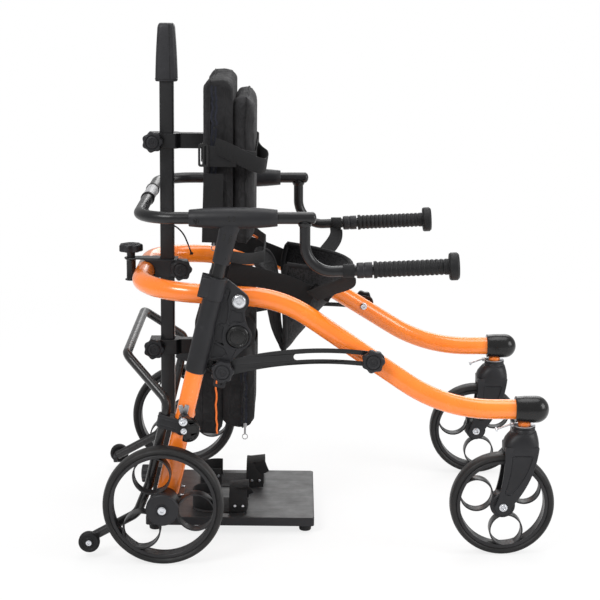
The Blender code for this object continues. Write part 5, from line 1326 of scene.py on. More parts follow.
def make_mast_clamp():
    """Block round the mast, its ear, the top plate and the spacer behind the tube."""
    low = CLAMP_Z - 0.018
    high = CLAMP_Z + 0.018
    lean_cos, lean_sin = math.cos(MAST_LEAN), math.sin(MAST_LEAN)
    cup = Vector((-0.052 - MAST_X, 0.510))
    cup_x = cup.x * lean_cos - cup.y * lean_sin
    cup_z = cup.y * lean_cos + cup.x * lean_sin
    start = math.degrees(math.acos((-0.0440 - cup_x) / 0.0196))
    outline = [(0.020, low), (0.020, high), (-0.0440, high)]
    outline += arc((cup_x, cup_z), 0.0196, start, -start, 20)
    outline += [(-0.0440, low)]
    side_on = MAST @ UPRIGHT["right"]
    parts = [(plate(outline, -0.022, 0.022), side_on, "plastic")]
    ear = rounded_rectangle(0.016, 0.0420, low + 0.003, high - 0.003, 0.006)
    parts.append((plate(ear, -0.010, 0.010), side_on, "plastic"))
    plate_low = high - 0.001
    outline = arc((SPINDLE_X, 0), 0.0136, 100, 260, 20)
    outline += [(-0.0227, -0.017), (-0.0227, 0.017)]
    parts.append((plate(outline, plate_low, plate_low + 0.003), SHIFT, "coat"))
    foot = 0.4880
    spacer = [(0, foot), (0.0125, foot), (0.0130, foot + 0.0020), (0.0098, foot + 0.0030),
              (0.0095, foot + 0.020), (0.0095, plate_low - 0.003), (0.0120, plate_low - 0.001),
              (0.0120, plate_low + 0.0005), (0, plate_low + 0.0005)]
    parts.append((turned(softened(spacer, 0.0006), 48), at(SPINDLE_X, 0, 0), "gloss"))
    dress("mast_clamp", parts, "frame", bevel=0.0009)
    knob_at = MAST @ move(CLAMP_KNOB_X, -0.0103 - 0.013, CLAMP_Z) @ UPRIGHT["right"]
    dress("clamp_knob", [(star_knob(neck=0.013), knob_at, "plastic")])
    top = at(SPINDLE_X, 0, plate_low + 0.003 + 0.0003 + 0.012)
    dress("spindle_knob", [(star_knob(0.0245, 0.012), top, "plastic")])


def make_arm(name, body, height, reach):
    """Arm that clamps round the mast, with its knob."""
    outline = [(-0.036, -0.021), (0.019, -0.021), (0.027, -0.0115), (reach, -0.0115),
               (reach, 0.0115), (0.027, 0.0115), (0.019, 0.021), (-0.036, 0.021)]
    hole = rounded_rectangle(-0.0140, 0.0140, -0.0140, 0.0140, 0.002, 2)
    place = MAST @ move(0, 0, height)
    parts = [(plate(softened(outline, 0.003, True, 4), -0.015, 0.015, holes=[hole]), place,
              "coat")]
    for out in (-1, 1):
        washer = place @ move(ARM_KNOB_X, out * 0.021, 0) @ UPRIGHT["right"]
        parts.append((round_rod(0.0095, -0.0006, 0.0006, 0.0003), washer, "steel"))
    parts.append((block((0.004, 0.060, 0.052), 0.0015, (reach - 0.0018, 0, 0)), place, "coat"))
    dress(name, parts, body, bevel=0.0009)
    spot = place @ move(ARM_KNOB_X, -0.0213 - KNOB_NECK, 0) @ UPRIGHT["right"]
    dress(f"{name}_knob", [(star_knob(KNOB_R * 0.95), spot, "plastic")])


# Cushions

COVER_CUTS = 22
COVER_EDGE = 0.015
COVER_PULL = 0.004
COVER_VOXEL = 0.0060
COVER_REACH = 0.005
COVER_FOLDS = 0.0030
CLOTH_FRAMES = 20
CLOTH = {
    "quality": 3,
    "use_pressure": True,
    "uniform_pressure_force": 4.0,
    "tension_stiffness": 12.0,
    "compression_stiffness": 12.0,
    "bending_stiffness": 0.4,
}


def cushion_shape(size, crown):
    """A boxed cushion: crowned faces and sides that pull in between the corners."""
    half = Vector(size) / 2
    bm = bmesh.new()
    bmesh.ops.create_cube(bm, size=2.0)
    bmesh.ops.subdivide_edges(bm, edges=bm.edges, cuts=COVER_CUTS, use_grid_fill=True)
    core = half - Vector([COVER_EDGE] * 3)
    for vert in bm.verts:
        p = Vector([c * h for c, h in zip(vert.co, half)])
        q = Vector([max(-c, min(c, v)) for v, c in zip(p, core)])
        gap = p - q
        if gap.length > 1e-9:
            p = q + gap.normalized() * COVER_EDGE
        u, v, w = (p[i] / half[i] for i in range(3))
        dome = max(0.0, (1 - v * v)) ** 0.8 * max(0.0, (1 - w * w)) ** 0.8
        p.x += math.copysign(1, u) * crown * dome * abs(u) ** 3
        p.y -= math.copysign(1, v) * COVER_PULL * (1 - w * w) * abs(v) ** 3
        p.z -= math.copysign(1, w) * COVER_PULL * (1 - v * v) * abs(w) ** 3
        vert.co = p
    return bm


def wrinkle(obj, seed):
    """Slack folds in the cover: long soft ones and a few sharp ones."""
    mesh = obj.data
    for vert in mesh.vertices:
        p = vert.co
        slow = noise.noise(Vector((p.x * 16, p.y * 16, p.z * 9 + p.y * 8)) + seed)
        sharp = noise.noise(Vector((p.x * 60 + p.z * 45, p.y * 50, p.z * 60)) + seed)
        ridge = (1 - abs(sharp) * 2) ** 3 * 0.4
        vert.co = p + vert.normal * COVER_FOLDS * (slow + ridge - 0.3)
    mesh.update()


def inflate(obj):
    """Cloth pressure fills the cover; no point moves further than COVER_REACH."""
    remesh = obj.modifiers.new("even", "REMESH")
    remesh.mode = "VOXEL"
    remesh.voxel_size = COVER_VOXEL
    apply_modifiers(obj)
    rest = [v.co.copy() for v in obj.data.vertices]
    cloth = obj.modifiers.new("cover", "CLOTH")
    for name, value in CLOTH.items():
        setattr(cloth.settings, name, value)
    cloth.settings.effector_weights.gravity = 0.0
    cloth.point_cache.frame_start = 1
    cloth.point_cache.frame_end = CLOTH_FRAMES
    scene = bpy.context.scene
    for frame_number in range(1, CLOTH_FRAMES + 1):
        scene.frame_set(frame_number)
    shaped = obj.evaluated_get(bpy.context.evaluated_depsgraph_get()).to_mesh()
    moved = [v.co.copy() for v in shaped.vertices]
    obj.to_mesh_clear()
    obj.modifiers.clear()
    scene.frame_set(1)
    for vert, old, new in zip(obj.data.vertices, rest, moved):
        step = new - old
        if step.length > COVER_REACH:
            step = step.normalized() * COVER_REACH
        vert.co = old + step
    refine(obj)


def refine(obj):
    smoother = obj.modifiers.new("finer", "SUBSURF")
    smoother.levels = 1
    smoother.render_levels = 1
    apply_modifiers(obj)


def apply_modifiers(obj):
    """Keep the evaluated mesh as the object's own."""
    depsgraph = bpy.context.evaluated_depsgraph_get()
    mesh = bpy.data.meshes.new_from_object(obj.evaluated_get(depsgraph))
    obj.modifiers.clear()
    obj.data = mesh
    mesh.shade_smooth()


def hold_inside(obj, low, high):
    """Press the cover flat where it meets what it rests against."""
    for vert in obj.data.vertices:
        for i in range(3):
            vert.co[i] = min(max(vert.co[i], low[i]), high[i])
    obj.data.update()


def on_cover(points, tree, lift):
    """Points moved on to the cover's surface, standing a little proud of it."""
    found = []
    for point in points:
        spot, normal, _, _ = tree.find_nearest(Vector(point))
        found.append(spot + normal * lift)
    return found


def loop_round(x, half_y, half_z, centre_z):
    """A closed path round a cushion's face at one X."""
    outline = rounded_rectangle(-half_y, half_y, centre_z - half_z, centre_z + half_z,
                                0.030, 10)
    dense = []
    for a, b in zip(outline, outline[1:] + outline[:1]):
        steps = max(1, int(math.dist(a, b) / 0.012))
        for k in range(steps):
            t = k / steps
            dense.append(Vector((x, a[0] + (b[0] - a[0]) * t, a[1] + (b[1] - a[1]) * t)))
    return dense + dense[:1]


def make_cushion(name, body, x0, size, centre_z, look, seed, crown=0.004, front_stop=None):
    """A filled cover in the mast's frame: its back is held flat at x0."""
    slim = Vector(size) - Vector((0.003, 0.006, 0.006))
    bm = cushion_shape(slim, crown)
    centre = Vector((x0 + size[0] / 2, 0.0, centre_z))
    bmesh.ops.translate(bm, verts=bm.verts, vec=centre)
    obj = piece(f"{name}_dressed", None, [(bm, Matrix.Identity(4), look)], [name])
    inflate(obj)
    wrinkle(obj, seed)
    low = centre - Vector(size) / 2 - Vector((0.002, 0.002, 0.002))
    high = centre + Vector(size) / 2 + Vector((0.004, 0.002, 0.002))
    low.x = x0
    if front_stop is not None:
        high.x = front_stop
    hold_inside(obj, low, high)
    bm = bmesh.new()
    bm.from_mesh(obj.data)
    tree = BVHTree.FromBMesh(bm)
    bm.free()
    obj.data.transform(MAST)
    obj.data.materials.clear()
    obj.data.materials.append(LOOKS[look])
    obj.data.shade_smooth()
    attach(obj, body)
    return tree


def trim(name, body, x, half_y, half_z, centre_z, tree, look, radius, lift):
    path = on_cover(loop_round(x, half_y, half_z, centre_z), tree, lift)
    path[-1] = path[0].copy()
    piece(name, body, [(tube(path, radius, 10), MAST, look)])


ZIP_PITCH = 0.0022


def zipper(name, body, x, y, z0, z1, tree):
    """A coil of zip teeth on its tape, with a slider at the end."""
    steps = 40
    line = [Vector((x, y, z0 + (z1 - z0) * i / steps)) for i in range(steps + 1)]
    line = on_cover(line, tree, 0.0002)
    parts = [(strap(line, (1, 0, 0), 0.0115, 0.0010), MAST, "zip")]
    bm = bmesh.new()
    for i in range(int(abs(z1 - z0) / ZIP_PITCH)):
        t = (i + 0.5) * ZIP_PITCH / abs(z1 - z0) * steps
        k = min(int(t), steps - 1)
        spot = line[k].lerp(line[k + 1], t - k)
        tooth = bmesh.ops.create_cube(bm, size=1.0)["verts"]
        bmesh.ops.scale(bm, vec=(0.0040, 0.0014, 0.0013), verts=tooth)
        bmesh.ops.translate(bm, verts=tooth,
                            vec=spot + Vector((0, math.copysign(0.0007, y), 0)))
    parts.append((bm, MAST, "gloss"))
    end = line[0] + Vector((0, math.copysign(0.0018, y), 0))
    parts.append((block((0.0070, 0.0030, 0.0090), 0.0010, end), MAST, "steel"))
    pull = [end + Vector((0, math.copysign(0.001, y), -0.004)),
            end + Vector((0, math.copysign(0.003, y), -0.018))]
    parts.append((strap(pull, (1, 0, 0), 0.0040, 0.0012), MAST, "steel"))
    ring = Matrix.Translation(pull[1] + Vector((0, 0, -0.005))) @ UPRIGHT["right"]
    parts.append((round_ring(0.0060, 0.0044, -0.0006, 0.0006, 0.0004), MAST @ ring, "steel"))
    piece(name, body, parts)


def make_trunk_cushions():
    body = "trunk_support"
    back = make_cushion("trunk_back_cushion", body, 0.0790, (0.055, 0.296, 0.330), 0.7475,
                        "nylon", Vector((1.3, 0.2, 4.1)), front_stop=0.1362)
    # The front cushion takes the lighter nylon copy: painted light on its lit front.
    front = make_cushion("trunk_front_cushion", body, 0.1366, (0.037, 0.262, 0.304), 0.7275,
                         "panel", Vector((5.7, 2.2, 0.9)))
    trim("trunk_back_piping", body, 0.1312, 0.1470, 0.1640, 0.7475, back, "piping", 0.0021,
         0.0010)
    trim("trunk_back_seam", body, 0.0890, 0.1470, 0.1640, 0.7475, back, "nylon", 0.0013,
         0.0003)
    trim("trunk_front_seam", body, 0.1640, 0.1300, 0.1510, 0.7275, front, "nylon", 0.0016,
         0.0006)
    for side, out in SIDES.items():
        zipper(f"trunk_zip_{side}", body, 0.0985, out * 0.150, 0.602, 0.896, back)


def make_knee_cushions():
    body = "knee_support"
    back = make_cushion("knee_back_cushion", body, 0.0606, (0.054, 0.240, 0.265), 0.3165,
                        "nylon", Vector((2.1, 8.2, 3.3)), front_stop=0.1150)
    front = make_cushion("knee_front_cushion", body, 0.1152, (0.060, 0.230, 0.245), 0.3220,
                         "nylon", Vector((9.1, 4.4, 6.0)), crown=0.006)
    trim("knee_back_piping", body, 0.1085, 0.1190, 0.1315, 0.3165, back, "piping", 0.0019,
         0.0008)
    trim("knee_back_seam", body, 0.0720, 0.1190, 0.1315, 0.3165, back, "nylon", 0.0013,
         0.0003)
    trim("knee_front_seam", body, 0.1560, 0.1140, 0.1215, 0.3220, front, "nylon", 0.0015,
         0.0006)
    for side, out in SIDES.items():
        zipper(f"knee_zip_{side}", body, 0.1600, out * 0.1150, 0.2080, 0.4250, front)
    band = []
    for angle in range(-90, 91, 10):
        a = math.radians(angle)
        band.append(Vector((0.1560 + 0.0265 * math.cos(a), 0.1185 * math.sin(a), 0.3560)))
    near = [Vector((x, -0.1195, 0.3560)) for x in (0.064, 0.085, 0.105, 0.125, 0.142)]
    far = [Vector((p.x, -p.y, p.z)) for p in reversed(near)]
    path = smooth(near + band[1:-1] + far, 2)
    parts = [(strap(path, (0, 0, 1), 0.040, 0.0022), MAST, "webbing")]
    for out in (-1, 1):
        parts.append(buckle(MAST @ move(0.078, out * 0.1215, 0.3560)
                            @ UPRIGHT["right"], 0.030, 0.048))
    piece("knee_strap", body, parts)


def buckle(place, width, height):
    """A ladder slider with rounded bars."""
    bar = 0.0042
    outline = rounded_rectangle(-width / 2, width / 2, -height / 2, height / 2, 0.005)
    gap = (width - 3 * bar) / 2
    holes = []
    for start in (-width / 2 + bar, bar / 2):
        holes.append(rounded_rectangle(start, start + gap, -height / 2 + bar,
                                       height / 2 - bar, 0.0016, 3))
    return plate(outline, -0.0018, 0.0018, holes=holes), place, "gloss"


def make_chest_strap():
    """Band round both trunk cushions, with its buckle and the loose loop in front."""
    body = "trunk_support"
    z = 0.757
    place = MAST @ move(0, 0, 0.0065)
    near = [(x, -0.1525, z) for x in (0.0785, 0.095, 0.112, 0.130)]
    near += [(0.150, -0.1500, 0.7540), (0.168, -0.1440, 0.7500),
             (0.180, -0.1330, 0.7460), (0.1785, -0.1120, 0.7440),
             (0.1805, -0.0850, 0.7450), (0.1805, -0.0560, 0.7470),
             (0.1805, -0.0200, 0.7490), (0.1805, 0.0300, 0.7510),
             (0.1805, 0.0900, 0.7530), (0.1785, 0.1330, 0.7550),
             (0.1620, 0.1480, 0.7570), (0.1300, 0.1525, 0.7570),
             (0.0950, 0.1525, 0.7570), (0.0785, 0.1525, 0.7570)]
    wide = [(x, -0.1540, 0.7540) for x in (0.0800, 0.0980, 0.1160, 0.1340, 0.1440)]
    down = [(0.1020, -0.1532, 0.7740), (0.1160, -0.1570, 0.7700),
            (0.1340, -0.1570, 0.7620), (0.1540, -0.1500, 0.7510),
            (0.1750, -0.1420, 0.7400), (0.1930, -0.1300, 0.7330),
            (0.2010, -0.1080, 0.7350), (0.1990, -0.0860, 0.7430),
            (0.1880, -0.0700, 0.7500), (0.1815, -0.0500, 0.7560)]
    behind = [(0.0775, -0.1500, z), (0.0760, -0.1300, z),
              (0.0758, -0.0400, z), (0.0758, 0.0400, z),
              (0.0760, 0.1300, z), (0.0775, 0.1500, z)]
    panel = [(0.1000, -0.1522, 0.7200), (0.0990, -0.1520, 0.6800),
             (0.0975, -0.1518, 0.6300), (0.0965, -0.1500, 0.5860)]
    parts = [(strap(smooth(near, 4), (0, 0, 1), 0.028), place, "webbing"),
             (strap(smooth(wide, 3), (0, 0, 1), 0.040), place, "webbing"),
             (strap(smooth(down, 5), (0.15, 0, 1), 0.030), place, "webbing"),
             (strap(smooth(behind, 3), (0, 0, 1), 0.028, 0.0014), place, "webbing"),
             (strap(smooth(panel, 5), (1, 0, 0), 0.038, 0.0016), place, "webbing")]
    for out in (-1, 1):
        spot = place @ move(0.0810, out * 0.1558, 0.7560) @ UPRIGHT["right"]
        parts.append(buckle(spot, 0.020, 0.044))
    dress("chest_strap", parts, body)


# Footplate

def make_footplate():
    """Laminate board with a black edge band, feet, socket and its knob."""
    outline = rounded_rectangle(-0.0353, 0.3015, -0.155, 0.155, 0.006)
    parts = [(plate(outline, 0.0190, PLATE_TOP - 0.0006), MAST, "plastic")]
    face = rounded_rectangle(-0.0343, 0.3005, -0.154, 0.154, 0.0055)
    parts.append((plate(face, PLATE_TOP - 0.0012, PLATE_TOP), MAST, "laminate"))
    foot = [(0, -0.0125), (0.0105, -0.0125), (0.0118, -0.0110), (0.0130, -0.0010),
            (0.0130, 0.002), (0, 0.002)]
    for x in (-0.0173, 0.2835):
        for y in (-0.137, 0.137):
            place = MAST @ move(x, y, 0.0190)
            parts.append((turned(softened(foot, 0.0008), 40), place, "grip"))
    hole = rounded_rectangle(-0.0140, 0.0140, -0.0140, 0.0140, 0.002, 2)
    block_loop = rounded_rectangle(-0.032, 0.019, -0.021, 0.021, 0.003)
    parts.append((plate(block_loop, PLATE_TOP, PLATE_TOP + 0.061, holes=[hole]), MAST, "coat"))
    skirt = rounded_rectangle(-0.034, 0.034, -0.034, 0.034, 0.004)
    parts.append((plate(skirt, PLATE_TOP, PLATE_TOP + 0.003, holes=[hole]), MAST, "coat"))
    for x, y in ((0.028, 0.028), (0.028, -0.028), (-0.028, 0.028), (-0.028, -0.028)):
        place = MAST @ move(x, y, PLATE_TOP + 0.003)
        parts.append((bolt_head(0.0040, 0.0018), place, "zinc"))
    dress("footplate", parts, "standing_unit", bevel=0.0008)
    knob = MAST @ move(-0.0323 - KNOB_NECK, 0, 0.077)
    knob = knob @ Matrix.Rotation(-math.pi / 2, 4, "Y")
    dress("plate_knob", [(star_knob(0.0190), knob, "plastic")])


FOOT_STRAPS = {
    "right": {"toe": 0.150, "heel": 0.092, "toe_height": 0.049},
    "left": {"toe": 0.180, "heel": 0.098, "toe_height": 0.052},
}


def make_foot_straps(side):
    """Sole, overlapping toe straps with rivets, and a heel loop."""
    out = SIDES[side]
    sizes = FOOT_STRAPS[side]
    y = out * 0.082
    floor = PLATE_TOP + 0.0003
    toe, heel = sizes["toe"], sizes["heel"]
    sole = rounded_rectangle(heel - 0.036, toe + 0.017, y - 0.046, y + 0.046, 0.030, 10)
    parts = [(plate(sole, floor, floor + 0.0015), MAST, "mesh")]
    height = sizes["toe_height"]
    outer_half = [Vector((toe + 0.004 * t, y + 0.047 * math.cos(math.pi * t),
                          floor + 0.001 + height * math.sin(math.pi * t) ** 0.75))
                  for t in [i / 28 for i in range(20)]]
    inner_half = [Vector((toe - 0.002, y - 0.047 * math.cos(math.pi * t),
                          floor + 0.001 + (height - 0.0028) * math.sin(math.pi * t) ** 0.75))
                  for t in [i / 28 for i in range(18)]]
    parts.append((strap(outer_half, (1, 0, 0.12), 0.034, 0.0024), MAST, "webbing"))
    parts.append((strap(inner_half, (1, 0, -0.10), 0.036, 0.0024), MAST, "webbing"))
    tail = outer_half[-1]
    flap = [tail, tail + Vector((0.004, -out * 0.010, -0.008)),
            tail + Vector((0.010, -out * 0.017, -0.020))]
    parts.append((strap(smooth(flap, 4), (1, 0, 0.3), 0.034, 0.0024), MAST, "webbing"))
    for along in (0.008, -0.008):
        spot = move(toe + along, y - 0.0478, floor + 0.015)
        parts.append((bolt_head(0.0030, 0.0014, 0.3), MAST @ spot @ UPRIGHT["right"], "zinc"))
    loop = []
    for i in range(25):
        angle = math.radians(75 + 210 * i / 24)
        loop.append(Vector((heel + 0.036 * math.cos(angle), y + 0.036 * math.sin(angle),
                            floor + 0.019)))
    parts.append((strap(loop, (0.0, 0, 1), 0.036, 0.0026), MAST, "webbing"))
    parts.append((bolt_head(0.0030, 0.0014, 0.3), MAST @ Matrix.Translation(
        (heel + 0.004, y - 0.0372, floor + 0.021)) @ UPRIGHT["right"], "zinc"))
    dress(f"foot_strap_{side}", parts, "standing_unit")


# Saddle harness

SADDLE_ROWS = [
    ((0.362, 0.000, 0.512), (0.340, 0.086, 0.522), (0.234, 0.114, 0.541)),
    ((0.338, 0.000, 0.478), (0.314, 0.084, 0.484), (0.225, 0.118, 0.500)),
    ((0.300, 0.000, 0.434), (0.281, 0.060, 0.434), (0.230, 0.092, 0.436)),
    ((0.258, 0.000, 0.384), (0.250, 0.032, 0.381), (0.230, 0.054, 0.380)),
    ((0.232, 0.000, 0.354), (0.230, 0.020, 0.353), (0.226, 0.038, 0.353)),
    ((0.210, 0.000, 0.380), (0.211, 0.028, 0.382), (0.216, 0.048, 0.390)),
    ((0.196, 0.000, 0.446), (0.198, 0.056, 0.448), (0.212, 0.092, 0.462)),
    ((0.186, 0.000, 0.496), (0.187, 0.074, 0.502), (0.205, 0.110, 0.504)),
    ((0.172, 0.000, 0.532), (0.174, 0.078, 0.536), (0.194, 0.112, 0.524)),
]


def blend_row(row, s):
    """A point across one row of the sling: s from -1 to 1."""
    near = Vector(row[0])
    middle = Vector(row[1])
    edge = Vector(row[2])
    share = abs(s)
    half = near * (1 - share) * (1 - 2 * share) + middle * 4 * share * (1 - share)
    half += edge * share * (2 * share - 1)
    half.y = math.copysign(half.y, s) if s else 0.0
    return half


def saddle_point(t, s):
    """A point of the sling: t from the front flap to the rear one, s across."""
    rows = [blend_row(row, s) for row in SADDLE_ROWS]
    spot = min(max(t, 0.0), 1.0) * (len(rows) - 1)
    k = min(int(spot), len(rows) - 2)
    f = spot - k
    a = rows[max(k - 1, 0)]
    b = rows[k]
    c = rows[k + 1]
    d = rows[min(k + 2, len(rows) - 1)]
    return 0.5 * (2 * b + (c - a) * f + (2 * a - 5 * b + 4 * c - d) * f ** 2
                  + (3 * b - 3 * c + d - a) * f ** 3)


def make_saddle():
    """Mesh sling seat with bound edges, stitched flaps and webbing anchors."""
    rows, columns = 56, 18
    bm = bmesh.new()
    grid = []
    for i in range(rows + 1):
        row = []
        for j in range(columns + 1):
            t = i / rows
            s = -1 + 2 * j / columns
            p = saddle_point(t, s)
            p += Vector((noise.noise(p * 30) * 0.002, 0,
                         noise.noise(p * 24 + Vector((4, 1, 2))) * 0.002))
            row.append(bm.verts.new(p))
        grid.append(row)
    for i in range(rows):
        for j in range(columns):
            bm.faces.new((grid[i][j], grid[i + 1][j], grid[i + 1][j + 1], grid[i][j + 1]))
    obj = piece("saddle_dressed", None, [(bm, SHIFT, "mesh")], ["saddle"], angle=80)
    solid = obj.modifiers.new("padding", "SOLIDIFY")
    solid.thickness = 0.009
    solid.offset = 0.0
    refine(obj)
    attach(obj, "handlebar")
    edge = [saddle_point(t / 60, -1) for t in range(61)]
    edge += [saddle_point(1, s / 10) for s in range(-9, 10)]
    edge += [saddle_point(t / 60, 1) for t in range(60, -1, -1)]
    edge += [saddle_point(0, s / 10) for s in range(9, -11, -1)]
    parts = [(tube(edge, 0.0056, 12), SHIFT, "nylon")]
    for level in (0.15, 0.86):
        seam = []
        for k in range(21):
            s = -0.96 + 1.92 * k / 20
            t = level - 0.04 * (1 - s * s) * (1 if level < 0.5 else -1)
            seam.append(saddle_point(t, s))
        parts.append((tube(seam, 0.0054, 10), SHIFT, "nylon"))
    for out in (-1, 1):
        band = [(0.286, out * 0.124, 0.478), (0.262, out * 0.127, 0.490),
                (0.232, out * 0.132, 0.504), (0.196, out * 0.144, 0.517),
                (0.158, out * 0.158, 0.529), (0.122, out * 0.172, 0.539)]
        parts.append((strap(smooth(band, 6), (0.3, 0, 1), 0.038), SHIFT, "webbing"))
    piece("saddle_binding", "handlebar", parts)


def make_straps(side):
    """Webbing from the handle's loop to the saddle's front flap, with a slider."""
    out = SIDES[side]
    y = out * LEG_HALF
    drop_x = grip_line(side)[0]
    loop_x = drop_x + GRIP_OFFSET - 0.032 - 0.015
    loop_z = GRIP_Z - GRIP_OFFSET * math.tan(GRIP_RISE) + (loop_x - drop_x) * math.tan(GRIP_RISE)
    ring = []
    for i in range(33):
        angle = 2 * math.pi * i / 32
        ring.append((loop_x, y + 0.0118 * math.sin(angle),
                     loop_z - 0.0118 * math.cos(angle)))
    parts = [(strap(ring, (1, 0, 0), 0.022), SHIFT, "webbing")]
    start = Vector((loop_x, y - out * 0.006, loop_z - 0.0105))
    low = Vector((0.284, out * 0.126, 0.480))
    fall = [start, start + Vector((0.0, -out * 0.012, -0.013)),
            start.lerp(low, 0.25) + Vector((0.006, 0, -0.008)),
            start.lerp(low, 0.60) + Vector((0.003, 0, -0.003)), low]
    parts.append((strap(smooth(fall, 7), (0.80, 0, -0.60), 0.030), SHIFT, "webbing"))
    lean = Matrix.Rotation(math.radians(-44), 4, "Y")
    place = SHIFT @ move(low.x + 0.010, low.y + out * 0.004, low.z + 0.010)
    parts.append(buckle(place @ lean @ UPRIGHT["right"], 0.022, 0.030))
    tail = [low + Vector((0.014, -out * 0.004, 0.012)), low + Vector((0.024, out * 0.002, 0.004)),
            low + Vector((0.036, out * 0.004, -0.002))]
    parts.append((strap(smooth(tail, 5), (0.5, 0, -0.86), 0.022), SHIFT, "webbing"))
    obj = piece(f"front_strap_{side}_dressed", None, parts, [f"front_strap_{side}"])
    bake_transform(obj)


def make_rear_straps():
    """Webbing behind the saddle, from one bar sleeve to the other."""
    sleeve_x, sleeve_z = leg_point(0.0, SOCKET_BOTTOM + 0.012)
    half = []
    for i in range(13):
        t = i / 12
        sag = 0.006 * math.sin(math.pi * t)
        half.append(Vector((sleeve_x + (0.1887 - sleeve_x) * t ** 0.8,
                            0.2502 + (0.094 - 0.2512) * t,
                            sleeve_z + (0.554 - sleeve_z) * t - sag)))
    path = [Vector((p.x, -p.y, p.z)) for p in half] + [Vector(p) for p in reversed(half)]
    parts = [(strap(path, (0, 0, 1), 0.022), SHIFT, "webbing")]
    for out in (-1, 1):
        tab = [(0.1500, out * 0.134, 0.562), (0.1620, out * 0.130, 0.556),
               (0.1720, out * 0.126, 0.552)]
        parts.append((strap(tab, (0, 0, 1), 0.0045, 0.0030), SHIFT, "piping"))
    dress("rear_strap", parts, "handlebar")


def make_tie_cord():
    """Thin cord tied under the handlebar, with a knot at its free end."""
    curve = bpy.data.curves.new("tie_cord_dressed", "CURVE")
    curve.dimensions = "3D"
    curve.bevel_depth = CORD_R
    curve.bevel_resolution = 4
    curve.use_fill_caps = True
    route = [Vector(p) + Vector((-LENGTH_MIDDLE, 0, 0)) for p in smooth(CORD_ROUTE, 4)]
    spline = curve.splines.new("POLY")
    spline.points.add(len(route) - 1)
    for target, point in zip(spline.points, route):
        target.co = (*point, 1.0)
    curve.materials.append(LOOKS["webbing"])
    cord = bpy.data.objects.new("tie_cord_dressed", curve)
    bpy.context.scene.collection.objects.link(cord)
    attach(cord, "handlebar")
    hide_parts("tie_cord")
    knot = []
    for i in range(40):
        a = 2 * math.pi * i / 39
        reach = 0.9 + 0.5 * math.cos(3 * a)
        knot.append(route[-1] + Vector((reach * math.cos(2 * a) * 0.0019,
                                        reach * math.sin(2 * a) * 0.0019,
                                        math.sin(3 * a) * 0.0016)))
    parts = [(tube(knot, 0.0012, 8), Matrix.Identity(4), "webbing")]
    tie = piece("tie_cord_knot", "handlebar", parts)


# Stage

def make_stage():
    """Pale floor that shows white, with the object's soft shadow."""
    bm = bmesh.new()
    bmesh.ops.create_grid(bm, x_segments=1, y_segments=1, size=9.0)
    mesh = bpy.data.meshes.new("floor")
    bm.to_mesh(mesh)
    bm.free()
    floor = bpy.data.objects.new("floor", mesh)
    bpy.context.scene.collection.objects.link(floor)
    look = bpy.data.materials.new("white_floor")
    look.use_nodes = True
    nodes = look.node_tree.nodes
    links = look.node_tree.links
    shader = nodes["Principled BSDF"]
    shader.inputs["Base Color"].default_value = (0.86, 0.86, 0.86, 1)
    shader.inputs["Roughness"].default_value = 0.9
    glow = nodes.new("ShaderNodeEmission")
    rays = nodes.new("ShaderNodeLightPath")
    place = nodes.new("ShaderNodeTexCoord")
    reach = nodes.new("ShaderNodeVectorMath")
    reach.operation = "LENGTH"
    links.new(place.outputs["Object"], reach.inputs[0])
    fade = nodes.new("ShaderNodeMapRange")
    fade.inputs["From Min"].default_value = 0.9
    fade.inputs["From Max"].default_value = 2.4
    fade.inputs["To Min"].default_value = 0.80
    fade.inputs["To Max"].default_value = 1.0
    links.new(reach.outputs["Value"], fade.inputs["Value"])
    share = nodes.new("ShaderNodeMath")
    share.operation = "MULTIPLY"
    links.new(fade.outputs["Result"], share.inputs[1])
    blend = nodes.new("ShaderNodeMixShader")
    links.new(rays.outputs["Is Camera Ray"], share.inputs[0])
    links.new(share.outputs[0], blend.inputs[0])
    links.new(shader.outputs[0], blend.inputs[1])
    links.new(glow.outputs[0], blend.inputs[2])
    links.new(blend.outputs[0], nodes["Material Output"].inputs["Surface"])
    mesh.materials.append(look)


def make_world():
    world = bpy.data.worlds.new("studio")
    world.use_nodes = True
    nodes = world.node_tree.nodes
    links = world.node_tree.links
    soft = nodes["Background"]
    soft.inputs["Color"].default_value = (1, 1, 1, 1)
    soft.inputs["Strength"].default_value = 0.52
    white = nodes.new("ShaderNodeBackground")
    white.inputs["Color"].default_value = (1, 1, 1, 1)
    white.inputs["Strength"].default_value = 1.0
    rays = nodes.new("ShaderNodeLightPath")
    blend = nodes.new("ShaderNodeMixShader")
    links.new(rays.outputs["Is Camera Ray"], blend.inputs[0])
    links.new(soft.outputs[0], blend.inputs[1])
    links.new(white.outputs[0], blend.inputs[2])
    links.new(blend.outputs[0], nodes["World Output"].inputs["Surface"])
    bpy.context.scene.world = world


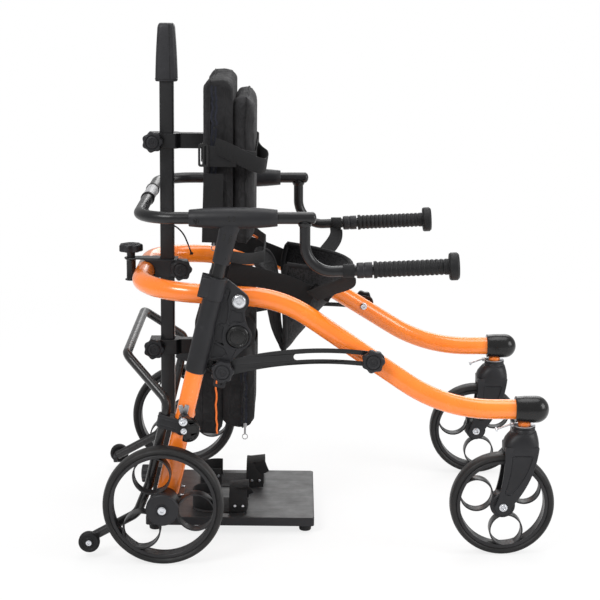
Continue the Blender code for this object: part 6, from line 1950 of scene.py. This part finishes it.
def make_lamp(name, place, target, size, power):
    data = bpy.data.lights.new(name, "AREA")
    data.shape = "RECTANGLE"
    data.size = size[0]
    data.size_y = size[1]
    data.energy = power
    lamp = bpy.data.objects.new(name, data)
    lamp.location = place
    way = Vector(target) - Vector(place)
    lamp.rotation_euler = way.to_track_quat("-Z", "Y").to_euler()
    bpy.context.scene.collection.objects.link(lamp)


def make_lights():
    make_lamp("key", (-1.6, -2.2, 2.6), (0, 0, 0.45), (1.3, 0.9), 60)
    make_lamp("fill", (2.6, -1.0, 1.5), (0, 0, 0.5), (1.4, 1.4), 40)
    make_lamp("top", (0.3, 0.4, 3.0), (0, 0, 0.4), (2.2, 1.6), 38)
    make_lamp("back", (0.6, 2.6, 1.8), (0, 0, 0.5), (2.0, 1.4), 26)


def build():
    make_camera()
    make_tie_cord()
    make_main_tube()
    for side in SIDES:
        make_front_end(side)
        make_fork(side)
        make_wheel(side, "front", WHEELBASE, FRONT_WHEEL_R, TUBE_FRONT.y, FRONT_HUB_R,
                   FRONT_SPOKE_TURN, -TYRE_WIDTH / 2 - 0.002, TYRE_WIDTH / 2 + 0.002)
        make_wheel(side, "rear", 0.0, REAR_WHEEL_R, REAR_TRACK / 2, REAR_HUB_R,
                   REAR_SPOKE_TURN, LEG_HALF + LEG_R + 0.001 - REAR_TRACK / 2, HUB_REACH)
        make_leg(side)
        make_sleeve(side)
        make_pivot(side)
        make_strut(side)
        make_brake(side)
        make_tip_wheel(side)
        make_bar_sleeve(side)
        make_handle(side)
        make_straps(side)
        make_foot_straps(side)
    make_kick_bar()
    make_handlebar()
    make_mast()
    make_mast_clamp()
    make_arm("upper_arm", "trunk_support", UPPER_ARM_Z, 0.0784)
    make_arm("lower_arm", "knee_support", LOWER_ARM_Z, 0.0600)
    make_trunk_cushions()
    make_knee_cushions()
    make_chest_strap()
    make_footplate()
    make_saddle()
    make_rear_straps()
    make_stage()
    make_world()
    make_lights()
    bpy.context.scene.view_settings.view_transform = "Standard"


build()
